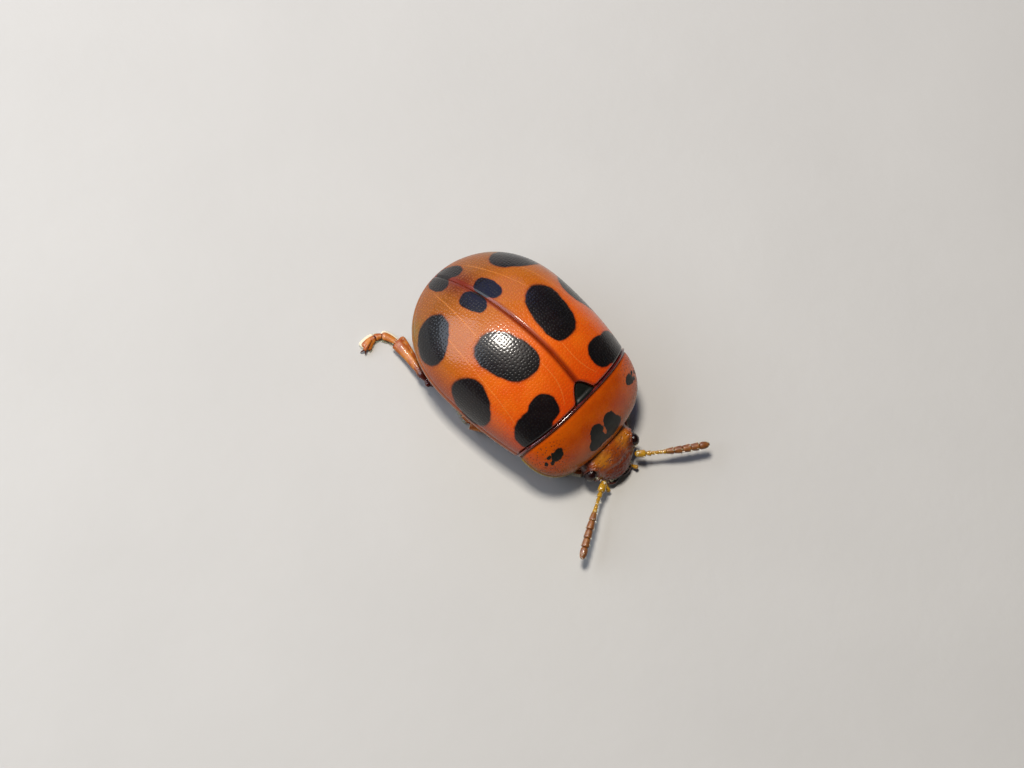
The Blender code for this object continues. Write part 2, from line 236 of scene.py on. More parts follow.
def piece(name, shapes, material, replaces=(), sharp=60):
    # one mesh object from any number of closed shapes, riding on the beetle's one body
    faces, count = [], 0
    for points, shapeFaces, _, _ in shapes:
        faces += [[i + count for i in face] for face in shapeFaces]
        count += len(points)
    points, flows, pits = (np.concatenate([shape[i] for shape in shapes]) for i in (0, 2, 3))
    mesh = bpy.data.meshes.new(name)
    mesh.from_pydata(((points + bodyOrigin) * millimetre).tolist(), [], faces)
    work = bmesh.new()
    work.from_mesh(mesh)
    bmesh.ops.recalc_face_normals(work, faces=work.faces)
    work.to_mesh(mesh)
    work.free()
    mesh.attributes.new("flow", "FLOAT_VECTOR", "POINT").data.foreach_set("vector", flows.ravel())
    mesh.attributes.new("pitted", "FLOAT", "POINT").data.foreach_set("value", pits)
    mesh.shade_smooth()
    mesh.set_sharp_from_angle(angle=radians(sharp))
    mesh.materials.append(material)
    made = bpy.data.objects.new(name, mesh)
    bpy.context.scene.collection.objects.link(made)
    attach(made, "root")
    if replaces:
        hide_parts(*replaces)
    return made


smooth = {"interpolation_type": "SMOOTHSTEP"}
# how finely two kinds of cloudy pattern break up
mottled = {"Detail": 3.0, "Roughness": 0.55}
soft = {"Detail": 2.0, "Roughness": 0.55}


def linear(code):
    # an sRGB hex colour as the linear values that a shader takes
    channels = [int(code[i:i + 2], 16) / 255 for i in (0, 2, 4)]
    return (*[c / 12.92 if c <= 0.04045 else ((c + 0.055) / 1.055) ** 2.4 for c in channels], 1)


def node(tree, kind, inputs=None, **settings):
    # an input takes a value, a hex colour, or the socket or node that feeds it
    made = tree.nodes.new(kind if "Node" in kind else "ShaderNode" + kind)
    for name, value in settings.items():
        setattr(made, name, value)
    for name, value in (inputs or {}).items():
        socket = made.inputs[name]
        if isinstance(value, bpy.types.Node):
            value = next(output for output in value.outputs if output.enabled)
        if isinstance(value, bpy.types.NodeSocket):
            tree.links.new(value, socket)
        else:
            socket.default_value = linear(value) if socket.type == "RGBA" else value
    return made


def newMaterial(name, shine):
    # insect shell: a clear waxy skin over coloured horn, so every finish starts from these values
    material = bpy.data.materials.new(name)
    material.use_nodes = True
    tree = material.node_tree
    waxedHorn = {
        "Roughness": 0.25, "IOR": 1.56,
        "Coat Weight": 0.4, "Coat Roughness": 0.08, "Coat IOR": 1.5,
    }
    for setting, value in (waxedHorn | shine).items():
        tree.nodes["Principled BSDF"].inputs[setting].default_value = value
    metres = node(tree, "TexCoord").outputs["Object"]
    place = node(tree, "VectorMath", {0: metres, "Scale": 1 / millimetre}, operation="SCALE")
    return material, tree, place


def layered(tree, colour, layers):
    # each layer: what it follows, where that gives none and all of it, its share, and its colour;
    # a ready mask runs from 0 to 1 and isn't eased again
    for source, none, full, share, tint in layers:
        easing = {} if (none, full) == (0, 1) else smooth
        mask = node(tree, "MapRange", {0: source, 1: none, 2: full, 4: share}, **easing)
        colour = node(tree, "Mix", {0: mask, 6: colour, 7: tint}, data_type="RGBA")
    return colour


def finished(material, colour, roughness=None, reliefs=()):
    # each relief: a pattern, its height in millimetres and how strongly it shades
    tree = material.node_tree
    shader = tree.nodes["Principled BSDF"]
    tree.links.new(colour.outputs[2], shader.inputs["Base Color"])
    if roughness is not None:
        tree.links.new(roughness.outputs[0], shader.inputs["Roughness"])
    below = {}
    for pattern, height, strength in reliefs:
        inputs = {"Height": pattern, "Distance": height * millimetre, "Strength": strength}
        below = {"Normal": node(tree, "Bump", inputs | below).outputs["Normal"]}
    if below:
        tree.links.new(below["Normal"], shader.inputs["Normal"])
    return material


def cloudedMaterial(name, shine, colours, cloud, grain=None):
    # two tones that run into each other in clouds, over a fine grain; widths and heights in millimetres
    material, tree, place = newMaterial(name, shine)
    width, none, full = cloud
    clouds = node(tree, "TexNoise", {"Vector": place, "Scale": 1 / width} | mottled)
    reliefs = []
    if grain:
        grainWidth, detail, height = grain
        inputs = {"Vector": place, "Scale": 1 / grainWidth, "Detail": detail, "Roughness": 0.55}
        reliefs = [(node(tree, "TexNoise", inputs), height, 1)]
    colour = layered(tree, colours[0], [(clouds, none, full, 1, colours[1])])
    return finished(material, colour, reliefs=reliefs)


def pitField(tree, flow, pits):
    # 1 in the middle of each puncture and 0 between them; the mesh and the material both use it
    inputs = {"Vector": flow, "Scale": 1 / pits["spacing"], "Randomness": pits["randomness"]}
    cells = node(tree, "TexVoronoi", inputs, voronoi_dimensions=pits["dimensions"])
    edge = pits["radius"] / pits["spacing"]
    return node(tree, "MapRange", {0: cells, 1: edge * 0.1, 2: edge, 3: 1.0, 4: 0.0}, **smooth)


def shownPits(tree, flow, pits):
    # the punctures where the piece says that it is pitted
    pitted = node(tree, "Attribute", attribute_name="pitted").outputs["Fac"]
    return node(tree, "Math", {0: pitField(tree, flow, pits), 1: pitted}, operation="MULTIPLY")


def pressPits(made, pits):
    # pushes the same punctures into the mesh
    tree = bpy.data.node_groups.new(made.name + "Pits", "GeometryNodeTree")
    for way in ("INPUT", "OUTPUT"):
        tree.interface.new_socket("Geometry", in_out=way, socket_type="NodeSocketGeometry")
    flow = node(tree, "GeometryNodeInputNamedAttribute", {"Name": "flow"}, data_type="FLOAT_VECTOR")
    pitted = node(tree, "GeometryNodeInputNamedAttribute", {"Name": "pitted"}, data_type="FLOAT")
    field = node(tree, "Math", {0: pitField(tree, flow, pits), 1: pitted}, operation="MULTIPLY")
    deep = node(tree, "Math", {0: field, 1: -pits["depth"] * millimetre}, operation="MULTIPLY")
    outward = node(tree, "GeometryNodeInputNormal")
    push = node(tree, "VectorMath", {0: outward, "Scale": deep}, operation="SCALE")
    start = node(tree, "NodeGroupInput")
    moved = node(tree, "GeometryNodeSetPosition", {"Geometry": start, "Offset": push})
    node(tree, "NodeGroupOutput", {"Geometry": moved})
    made.modifiers.new("pits", "NODES").node_group = tree


def spotReach(tree, across, along, spots):
    # below 1 inside the spots; each blob is a turned ellipse, and blobs that touch run together
    nearest = None
    for spotAcross, spotAlong, halfAcross, halfAlong, turn in spots:
        c, s = cos(radians(turn)), sin(radians(turn))
        powers = []
        for half, byAcross, byAlong in ((halfAcross, c, s), (halfAlong, -s, c)):
            middle = -(spotAcross * byAcross + spotAlong * byAlong) / half
            part = node(tree, "Math", {0: across, 1: byAcross / half, 2: middle}, operation="MULTIPLY_ADD")
            part = node(tree, "Math", {0: along, 1: byAlong / half, 2: part}, operation="MULTIPLY_ADD")
            part = node(tree, "Math", {0: part}, operation="ABSOLUTE")
            powers.append(node(tree, "Math", {0: part, 1: 2.3}, operation="POWER"))
        blob = node(tree, "Math", dict(enumerate(powers)), operation="ADD")
        if nearest is not None:
            blob = node(tree, "Math", {0: nearest, 1: blob, 2: 0.25}, operation="SMOOTH_MIN")
        nearest = blob
    return nearest


wingCasePits = {"spacing": 0.12, "radius": 0.038, "depth": 0.007, "randomness": 0.5, "dimensions": "2D"}
# blobs of the black spots: across from the suture, along from the base, half sizes in mm, turn in degrees
wingCaseSpots = [
    (2.2, 0.5, 0.81, 0.64, -8),
    (1.55, 0.74, 0.58, 0.56, 0),
    (1.18, 3.02, 0.76, 1.1, -16),
    (0.86, 2.5, 0.5, 0.56, 0),
    (3.36, 2.76, 0.72, 1.02, 38),
    (2.3, 5.38, 1.1, 0.57, 145),
    (0.36, 5.25, 0.36, 0.56, 0),
    (0.28, 7.12, 0.32, 0.56, 20),
]


def profile(share, base, full, fullAt, hind):
    # grows from the base to its full size and falls to nothing at the hind end
    front = mix(full, base, (np.clip(fullAt - share, 0, 1) / fullAt) ** 2)
    return np.where(share < fullAt, front, full * falling((share - fullAt) / (1 - fullAt), hind))


def caseHeight(share):
    c = wingCase
    return profile(share, c["baseHeight"], c["crestHeight"], c["crestAt"], c["hindFall"])


def caseHalfWidth(share):
    c = wingCase
    return profile(share, c["baseHalfWidth"], c["halfWidth"], c["widestAt"], c["hindTaper"])


def casePower(share):
    c = wingCase
    return mix(c["squareness"], c["shoulderSquareness"], np.clip(1 - share / c["shouldersEnd"], 0, 1) ** 2)


def baseLine(side):
    # Y of the line where pronotum and wing cases meet, at a share of the half width
    return mix(wingCase["baseMiddleY"], wingCase["baseCornerY"], np.abs(side) ** 3)


def wingCaseShape(sign):
    c, s = wingCase, scutellum
    share = (np.sin(np.linspace(0, pi / 2, c["rows"])) * c["lastRowAt"])[:, None]
    width, height, power = caseHalfWidth(share), caseHeight(share), casePower(share)
    middleY = share * c["length"] + c["baseMiddleY"] * (1 - share) ** 4
    # the inner edge leaves room for the scutellum
    toApex = np.clip((s["apexY"] - middleY) / (s["apexY"] - c["baseMiddleY"]), 0, 1)
    notch = s["halfWidth"] * toApex ** s["roundness"]
    start = np.arcsin(np.clip(notch / width, 0, 1) ** (power / 2))
    x, up = arch(mix(start, pi / 2, np.linspace(0, 1, c["columns"])[None, :]), power)
    y = share * c["length"] + (baseLine(x) + c["seam"]) * (1 - share) ** 4
    outer = np.stack([x * width, y, up * height], -1)

    steps = np.linalg.norm(np.diff(outer, axis=1), axis=2)
    across = np.concatenate([notch, notch + np.cumsum(steps, axis=1)], axis=1)
    crestY = share * c["length"] + (c["baseMiddleY"] + c["seam"]) * (1 - share) ** 4
    along = reachAlong(np.stack([crestY, caseHeight(share)], -1)[:, 0])[:, None]
    along = np.broadcast_to(along, across.shape)
    toEdge = across[:, -1:] - across
    small = np.clip(width / 1.2, 0, 1)  # the rims shrink with the width at the hind end
    sink = -c["sutureDip"] * bell(across - notch, c["sutureWidth"]) * small
    sink = sink - c["gutterDepth"] * bell(toEdge - c["gutterAt"], c["gutterWidth"]) * small
    sink = sink - c["baseDip"] * np.clip(1 - along / 0.12, 0, 1) ** 2
    outer = outer + surfaceNormals(outer, np.array((0, c["length"] / 2, 0))) * sink[..., None]
    outer[..., 0] = np.maximum(outer[..., 0], 0) + c["halfGap"]

    # the edge turns under, runs inwards as a narrow shelf, and goes back inside the dome
    edge = outer[:, -1:]
    edgeX = edge[..., 0]
    bead = c["beadRadius"] * small
    turn = np.linspace(0.3, pi / 2, 4)[None, :]
    shelf = c["foldWidth"] * small
    underX = [edgeX - bead + bead * np.cos(turn), edgeX - shelf * 0.5, edgeX - shelf, edgeX - shelf]
    underX = np.concatenate(underX, axis=1)
    underZ = [-bead * np.sin(turn), -bead * 0.6, -bead * 0.7, bead * 1.5]
    underZ = np.concatenate(underZ, axis=1) + edge[..., 2]
    under = np.stack([underX, np.broadcast_to(edge[..., 1], underX.shape), underZ], -1)
    inX, inUp = arch(mix(radians(80), start, np.linspace(0, 1, 12)[None, :]), power)
    thin = c["thickness"] * small
    inner = np.stack([
        np.minimum(inX * (width - thin), edgeX - shelf) + c["halfGap"],
        share * (c["length"] - thin) + (baseLine(inX) + c["seam"]) * (1 - share) ** 4,
        inUp * (height - thin) - 0.5 * thin,
    ], -1)
    rings = np.concatenate([outer, under, inner], axis=1)
    rings[..., 0] *= sign
    extra = under.shape[1] + inner.shape[1]
    flow = np.zeros((*rings.shape[:2], 3))
    flow[..., 0] = np.concatenate([across, np.repeat(across[:, -1:], extra, 1)], axis=1)
    flow[..., 1] = along[:, :1]
    flow[:, :c["columns"], 2] = toEdge
    pitted = np.zeros(rings.shape[:2])
    clear = ramp(across - notch, 0.06, 0.2) * ramp(toEdge, 0.05, 0.2)
    pitted[:, :c["columns"]] = clear * ramp(along, 0.05, 0.2)
    return loft(rings, flow, pitted)


def waxedOrangeWingCase():
    # living chitin, hardened and waxed: orange under a thin clear gloss that deepens towards its edges,
    # through a browner rim of its own and painted shade over its sides and, in part, its tail
    material, tree, place = newMaterial("waxedOrangeWingCase", {
        "IOR": 1.32, "Coat Weight": 0.7, "Coat Roughness": 0.09, "Coat IOR": 1.34,
        "Subsurface Weight": 0.1, "Subsurface Radius": (1.0, 0.35, 0.08), "Subsurface Scale": 0.00022,
    })
    flow = node(tree, "Attribute", attribute_name="flow").outputs["Vector"]
    across, along, toEdge = node(tree, "SeparateXYZ", {0: flow}).outputs
    field = shownPits(tree, flow, wingCasePits)
    cloud = node(tree, "TexNoise", {"Vector": place, "Scale": 1 / 0.9} | mottled)
    mottle = node(tree, "TexNoise", {"Vector": place, "Scale": 1 / 0.07} | soft)
    wear = node(tree, "TexNoise", {"Vector": place, "Scale": 1 / 0.3} | mottled)
    # towards the tail the orange turns browner and darker: partly the shell's own ochre, partly painted
    # shade
    rear = layered(tree, "581D07", [(across, 0.15, 0.8, 1, "774007"), (across, 1.5, 2.4, 1, "6B5104")])
    # painted shade: the shell darkens towards its sides, most in front of the tail
    sideShadeReach = node(tree, "MapRange", {0: toEdge, 1: 1.5, 2: 0.2, 3: 0, 4: 0.85}, **smooth)
    inFront = node(tree, "MapRange", {0: along, 1: 6.0, 2: 4.2, 3: 0.15, 4: 1}, **smooth)
    paintedSideShade = node(tree, "Math", {0: sideShadeReach, 1: inFront}, operation="MULTIPLY")
    orange = layered(tree, "C54C01", [
        (cloud, 0.35, 0.65, 1, "CA5804"),
        (along, 1.9, 0.1, 1, "C93F00"),
        (along, 2.2, 4.7, 1, "995004"),
        (along, 4.8, 6.3, 0.95, rear),
        (paintedSideShade, 0, 1, 1, "812701"),
        (toEdge, 0.2, 0.06, 0.6, "834B17"),
        (mottle, 0.5, 0.8, 0.2, "CF731E"),
    ])
    # fine air tubes show as pale lines; each lies at square * u * u + slope * u + start across the shell
    toBase = node(tree, "Math", {0: 1.5, 1: along}, operation="SUBTRACT")
    nearBase = node(tree, "Math", {0: toBase, 1: 0.0}, operation="MAXIMUM")
    airTubes = [
        # u, square, slope, start, then where along the shell it begins and ends
        (along, -0.02, -0.05, 2.68, 0.3, 6.4),
        (nearBase, 0.24, 0.0, 0.51, 0.2, 2.2),
        (along, 0.0, -0.216, 2.22, 4.0, 6.9),
    ]
    for u, square, slope, start, first, last in airTubes:
        line = node(tree, "Math", {0: u, 1: square, 2: slope}, operation="MULTIPLY_ADD")
        line = node(tree, "Math", {0: line, 1: u, 2: start}, operation="MULTIPLY_ADD")
        away = node(tree, "Math", {0: across, 1: line}, operation="SUBTRACT")
        away = node(tree, "Math", {0: away}, operation="ABSOLUTE")
        shown = node(tree, "MapRange", {0: away, 1: 0.006, 2: 0.026, 3: 1, 4: 0}, **smooth)
        for none, full, share in ((first, first + 0.3, 1), (last, last - 0.4, 0.35)):
            fade = node(tree, "MapRange", {0: along, 1: none, 2: full, 4: share}, **smooth)
            shown = node(tree, "Math", {0: shown, 1: fade}, operation="MULTIPLY")
        orange = layered(tree, orange, [(shown, 0, 1, 1, "D08139")])
    # the spots' edges waver a little, and fade over a few hundredths of a millimetre
    wavering = []
    for value, offset in ((across, (0, 0, 0)), (along, (7, 3, 5))):
        moved = node(tree, "VectorMath", {0: place, 1: offset}, operation="ADD")
        wander = node(tree, "TexNoise", {"Vector": moved, "Scale": 1 / 0.45} | soft)
        wander = node(tree, "Math", {0: wander, 1: 0.5}, operation="SUBTRACT")
        wavering.append(node(tree, "Math", {0: wander, 1: 0.16, 2: value}, operation="MULTIPLY_ADD"))
    reach = spotReach(tree, *wavering, wingCaseSpots)
    # the middle of each puncture is paler: partly thinner horn, partly painted glint
    black = layered(tree, "070506", [(cloud, 0.3, 0.7, 1, "100708"), (field, 0, 1, 0.35, "222322")])
    colour = layered(tree, orange, [
        (field, 0, 1, 0.22, "CF7319"),
        (across, 0.2, 0.03, 0.85, "661401"),
        (reach, 1.42, 0.58, 0.75, "661403"),
        (reach, 1.12, 0.88, 1, black),
    ])
    roughness = node(tree, "MapRange", {0: wear, 1: 0.3, 2: 0.7, 3: 0.34, 4: 0.44}, **smooth)
    # real shell plates are netted at about 0.01 mm; drawn at 0.03 mm so that it shows
    net = node(tree, "TexVoronoi", {"Vector": place, "Scale": 1 / 0.03}, feature="DISTANCE_TO_EDGE")
    reliefs = [(field, -wingCasePits["depth"] * 0.5, 1), (net, 0.0012, 0.6)]
    return finished(material, colour, roughness, reliefs)


scutellum = {
    "halfWidth": 0.5,
    "apexY": 0.4,
    "roundness": 0.62,
    "rise": 0.03,
    "sunk": 0.03,
    "edgeDip": 0.05,
    "drop": 0.16,
    "seam": 0.02,
    "tipHalfWidth": 0.012,
}


def scutellumShape():
    s = scutellum
    share = eased(26)[:, None]
    y = mix(wingCase["baseMiddleY"] - s["seam"], s["apexY"] - s["seam"], share)
    half = np.maximum((s["halfWidth"] - s["seam"]) * (1 - share) ** s["roundness"], s["tipHalfWidth"])
    across = np.linspace(-1, 1, 25)[None, :]
    z = caseHeight(np.clip(y / wingCase["length"], 0, 1)) - s["sunk"]
    z = z + s["rise"] * (1 - across**2) * (1 - share * 0.5)
    z = z - s["edgeDip"] * (np.abs(across) ** 8 + np.clip(1 - share / 0.15, 0, 1))
    top = stacked(across * half, y, z)
    below = top[:, ::-6] - np.array((0, 0, s["drop"]))
    rings = np.concatenate([top, below], axis=1)
    pitted = np.zeros(rings.shape[:2])
    pitted[4:-4, 4:21] = 1
    return loft(rings, rings, pitted)


def waxedBlackShield():
    # black horn with a faint green cast, finely punctured
    shine = {"Roughness": 0.5, "IOR": 1.45, "Coat Weight": 0.0}
    material, tree, place = newMaterial("waxedBlackShield", shine)
    cloud = node(tree, "TexNoise", {"Vector": place, "Scale": 1 / 0.2} | mottled)
    pits = {"spacing": 0.07, "radius": 0.025, "depth": 0.005, "randomness": 0.9, "dimensions": "3D"}
    colour = layered(tree, "050704", [(cloud, 0.3, 0.7, 1, "0C1109")])
    return finished(material, colour, reliefs=[(pitField(tree, place, pits), -pits["depth"], 1)])


pronotum = {
    "baseHalfWidth": 2.7,
    "frontHalfWidth": 1.2,
    "frontMiddleY": -1.77,
    "frontCornerY": -1.62,
    "baseTop": 1.64,
    "frontTop": -0.28,
    "baseMargin": 0.16,  # height of its side edges
    "frontMargin": -0.5,
    "fall": (1.25, 1.5),
    "taper": (2.3, 2),
    "seam": 0.02,
    "sideGroove": (0.022, 0.14, 0.045),  # depth, distance from the edge and width
    "baseGroove": (0.03, 0.09, 0.05),
    "frontGroove": (0.012, 0, 0.03),
    "thickness": 0.09,
    "beadRadius": 0.035,
    "foldWidth": 0.4,
    "inside": (0, 0, -1.5),  # a point below it, which tells which way is out
    "innerWidth": 0.955,
    "innerDrop": 0.03,
    "rows": 110,
    "columns": 230,
    "rimRadius": 0.043,
}
pronotumPits = {"spacing": 0.15, "radius": 0.04, "depth": 0.008, "randomness": 0.95, "dimensions": "2D"}
pronotumSpots = [(0.36, 1.5, 0.3, 0.44, -14), (0.42, 1.84, 0.4, 0.33, -25), (0.12, 1.98, 0.3, 0.18, 0)]
pronotumSideSpots = [
    (1.96, 0.9, 0.27, 0.22, 12),
    (2.28, 0.76, 0.09, 0.08, 0),
    (2.26, 1.04, 0.1, 0.09, 0),
    (2.5, 0.9, 0.07, 0.08, 0),
]


def pronotumPoint(share, angle):
    # share runs from the base to the front edge, angle from side to side
    p = pronotum
    x, up = arch(angle, wingCase["squareness"])
    frontY = mix(p["frontMiddleY"], p["frontCornerY"], x * x)
    margin = mix(p["baseMargin"], p["frontMargin"], share)
    half = mix(p["frontHalfWidth"], p["baseHalfWidth"], falling(share, p["taper"]))
    top = mix(p["frontTop"], p["baseTop"], falling(share, p["fall"]))
    return stacked(x * half, mix(baseLine(x) - p["seam"], frontY, share), margin + (top - margin) * up)


def pronotumShape():
    p = pronotum
    share = np.sin(np.linspace(0, pi / 2, p["rows"]))[:, None]
    outer = pronotumPoint(share, np.linspace(-pi / 2, pi / 2, p["columns"])[None, :])
    steps = np.linalg.norm(np.diff(outer, axis=1), axis=2)
    across = np.concatenate([np.zeros((p["rows"], 1)), np.cumsum(steps, axis=1)], axis=1)
    across = across - across[:, -1:] / 2
    along = np.broadcast_to(reachAlong(outer[:, p["columns"] // 2])[:, None], across.shape)
    toEdge = across[:, -1:] - np.abs(across)
    toFront = along[-1:] - along
    sink = 0
    for away, groove in ((toEdge, "sideGroove"), (along, "baseGroove"), (toFront, "frontGroove")):
        depth, at, width = p[groove]
        sink = sink - depth * bell(away - at, width)
    outer = outer + surfaceNormals(outer, np.array(p["inside"])) * sink[..., None]
    # the side edges turn under and run inwards, and a thinner arch closes the plate below
    bead, shelf = p["beadRadius"], p["foldWidth"]
    turn = np.linspace(0.3, pi / 2, 4)
    inwards = np.concatenate([bead * np.cos(turn) - bead, [-shelf * 0.5, -shelf]])
    downwards = np.concatenate([-bead * np.sin(turn), [-bead * 2.2, -bead * 3]])

    def under(edge, sign):
        return stacked(edge[..., 0] + sign * inwards, edge[..., 1], edge[..., 2] + downwards)

    inAngle = np.linspace(pi / 2 * 0.9, -pi / 2 * 0.9, 24)[None, :]
    inner = pronotumPoint(share, inAngle) * np.array((p["innerWidth"], 1, 1))
    inner[..., 2] -= p["thickness"] * np.cos(inAngle) + p["innerDrop"]
    left, right = under(outer[:, -1:], 1), under(outer[:, :1], -1)[:, ::-1]
    rings = np.concatenate([outer, left, inner, right], axis=1)
    flow = np.zeros((*rings.shape[:2], 3))
    flow[..., 1] = along[:, :1]
    flow[:, :p["columns"], 0] = across
    flow[:, p["columns"]:, 0] = across[:, -1:]
    flow[:, :p["columns"], 2] = toEdge
    pitted = np.zeros(rings.shape[:2])
    sides = ramp(np.abs(across), 1.2, 2.1) * ramp(toEdge, 0.08, 0.25)
    pitted[:, :p["columns"]] = (0.15 + 0.85 * sides) * ramp(along, 0.15, 0.3) * ramp(toFront, 0.08, 0.25)
    return loft(rings, flow, pitted)


def hindRimShape():
    # the glossy dark bead along the pronotum's base
    path = pronotumPoint(0.0, np.linspace(-pi / 2, pi / 2, 150))
    path = path + unit(path - np.array(pronotum["inside"])) * 0.004
    radius = pronotum["rimRadius"] * rounded(np.linspace(0, 1, 150), 0.06, 0.06)
    return limb(path, radius, radius, around=14)


def waxedPronotum():
    # the same horn, smoother and browner, thin enough at its sides to turn yellow-green
    material, tree, place = newMaterial("waxedPronotum", {
        "IOR": 1.36, "Coat Weight": 0.0,
        "Subsurface Weight": 0.12, "Subsurface Radius": (1.0, 0.45, 0.1), "Subsurface Scale": 0.00025,
    })
    flow = node(tree, "Attribute", attribute_name="flow").outputs["Vector"]
    signed, along, toEdge = node(tree, "SeparateXYZ", {0: flow}).outputs
    across = node(tree, "Math", {0: signed}, operation="ABSOLUTE")
    field = shownPits(tree, flow, pronotumPits)
    cloud = node(tree, "TexNoise", {"Vector": place, "Scale": 1 / 0.8} | mottled)
    wear = node(tree, "TexNoise", {"Vector": place, "Scale": 1 / 0.25} | mottled)
    wander = node(tree, "TexNoise", {"Vector": place, "Scale": 1 / 0.3} | soft)
    wander = node(tree, "Math", {0: wander, 1: 0.5}, operation="SUBTRACT")
    shiftAcross = node(tree, "Math", {0: wander, 1: 0.2, 2: across}, operation="MULTIPLY_ADD")
    shiftAlong = node(tree, "Math", {0: wander, 1: -0.2, 2: along}, operation="MULTIPLY_ADD")
    masks = []
    for spots, softness in ((pronotumSpots, 0.14), (pronotumSideSpots, 0.2)):
        reach = spotReach(tree, shiftAcross, shiftAlong, spots)
        fade = {0: reach, 1: 1 - softness, 2: 1 + softness, 3: 1, 4: 0}
        masks.append(node(tree, "MapRange", fade, **smooth))
    spotted = node(tree, "Math", dict(enumerate(masks)), operation="MAXIMUM")
    black = layered(tree, "050703", [(cloud, 0.3, 0.7, 1, "0B0E07")])
    colour = layered(tree, "B44501", [
        (cloud, 0.35, 0.65, 1, "C25303"),
        (along, 1.2, 2.4, 0.5, "C76E11"),
        (toEdge, 0.5, 0.1, 0.7, "774B04"),
        (toEdge, 0.13, 0.03, 0.85, "8C8123"),
        (along, 0.2, 0.08, 0.7, "4E1103"),
        (field, 0, 1, 0.7, "3D1404"),
        (spotted, 0, 1, 1, black),
    ])
    satin = node(tree, "MapRange", {0: wear, 1: 0.3, 2: 0.7, 3: 0.2, 4: 0.3}, **smooth)
    roughness = node(tree, "Math", {0: spotted, 1: 0.2, 2: satin}, operation="MULTIPLY_ADD")
    # netted at 0.03 mm, coarser than the real 0.01 mm, like the wing cases
    net = node(tree, "TexVoronoi", {"Vector": place, "Scale": 1 / 0.03}, feature="DISTANCE_TO_EDGE")
    reliefs = [(field, -pronotumPits["depth"] * 0.7, 1), (net, 0.0012, 0.6)]
    return finished(material, colour, roughness, reliefs)


def glossyDarkRim():
    # thick horn drawn out into a bead: nearly black red, with the sharpest gloss on the beetle
    shine = {"Roughness": 0.14, "Coat Weight": 0.8, "Coat Roughness": 0.04}
    colours = ("330708", "5C160F")
    return cloudedMaterial("glossyDarkRim", shine, colours, (0.25, 0.35, 0.7), (0.09, 2, 0.008))


head = {
    "turn": -6,  # degrees, to its right
    "neck": (0, -1.8, 0),
    "frontY": -2.84,
    "halfWidth": 1.13,
    "clypeusHalfWidth": 0.56,
    "cheek": 0.05,
    "backTop": -0.27,
    "frontTop": -1.04,
    "bottom": -1.22,
    "clypeusThickness": 0.2,
    "clypeusCurve": 0.16,
    "squareness": 2.3,
    "clypeusGroove": 0.022,
    "middleGroove": 0.02,
    "swellings": [
        # height, place across and along, how much both distances count, width
        (-0.07, 0.76, -2.6, 1, 1, 0.11),  # socket of the feeler
        (0.035, 0.78, -2.38, 1, 0.7, 0.14),  # brow
        (0.05, 0, -2.12, 0.8, 1, 0.42),  # crown
        (0.13, 0.92, -2.1, 1, 0.7, 0.2),  # temple
    ],
    "eyeCentre": (1.01, -2.17, -0.8),
    "eyeRadii": (0.22, 0.24, 0.3),
    "eyeRim": 0.04,
    "eyeGroove": 0.02,
    "inside": (0, -2.2, -0.8),
    "rows": 110,
    "around": 200,
    "frontHairs": 60,
    "eyeHairs": 16,
    "hairLength": 0.1,
    "hairThickness": 0.012,
}
headPits = {"spacing": 0.1, "radius": 0.046, "depth": 0.02, "randomness": 1.0, "dimensions": "3D"}
# the crown is golden at two places, and dark round the eyes: each place, the distances from it over which
# the colour fades, the colour and its share
headPatches = [
    ((-0.52, -2.02, -0.3), 0.05, 0.5, "BB7714", 0.85),
    ((0.62, -2.0, -0.3), 0.05, 0.5, "B67014", 0.8),
    ((-1.1, -2.0, -0.75), 0.25, 0.5, "400A04", 0.85),
    ((0.95, -2.3, -0.75), 0.25, 0.5, "400A04", 0.85),
]


def turned(points, share=1.0):
    # the head turns a little to its right about the neck
    angle = radians(head["turn"]) * share
    neck = np.array(head["neck"])
    x, y, z = np.moveaxis(np.asarray(points, float) - neck, -1, 0)
    c, s = np.cos(angle), np.sin(angle)
    return stacked(x * c - y * s, x * s + y * c, z) + neck


def headShape():
    h = head
    share = np.sin(np.linspace(0, pi / 2, h["rows"]))[:, None]
    side, up = arch((np.arange(h["around"]) / h["around"] * 2 * pi)[None, :], h["squareness"])
    width = mix(h["halfWidth"], h["clypeusHalfWidth"], share**3.6) + h["cheek"] * bell(share - 0.35, 0.2)
    top = mix(h["backTop"], h["frontTop"], share**1.6)
    bottom = mix(h["bottom"], h["frontTop"] - h["clypeusThickness"], share**4)
    back = mix(pronotum["frontMiddleY"], pronotum["frontCornerY"], side * side) + 0.06
    y = mix(back, h["frontY"] + h["clypeusCurve"] * side * side, share)
    points = stacked(side * width, y, mix(bottom, top, (up + 1) / 2))
    x, depth = np.abs(points[..., 0]), points[..., 1]
    relief = -h["clypeusGroove"] * bell(depth + 2.54 - 0.2 * x, 0.06) * ramp(-x, -0.7, -0.45)
    relief -= h["middleGroove"] * bell(x, 0.06) * ramp(depth, -2.5, -2.3) * ramp(-depth, 1.7, 2.0)
    for height, atX, atY, countX, countY, spread in h["swellings"]:
        relief += height * bell(np.hypot((x - atX) * countX, (depth - atY) * countY), spread)
    points[..., 2] += ramp(up, 0.0, 0.5) * relief
    # a raised rim and a fine groove run round each eye
    beside = np.stack([x, depth, points[..., 2]], -1)
    reach = np.linalg.norm((beside - np.array(h["eyeCentre"])) / np.array(h["eyeRadii"]), axis=-1)
    orbit = h["eyeRim"] * bell(reach - 1.22, 0.14) - h["eyeGroove"] * bell(reach - 1.0, 0.08)
    points = points + surfaceNormals(points, np.array(h["inside"])) * orbit[..., None]
    pitted = ramp(up, -0.3, 0.2) * (0.4 + 0.6 * ramp(-depth, 1.8, 2.1)) * ramp(1 - share, 0.0, 0.03)
    points = turned(points, share)
    return loft(points, points, pitted)


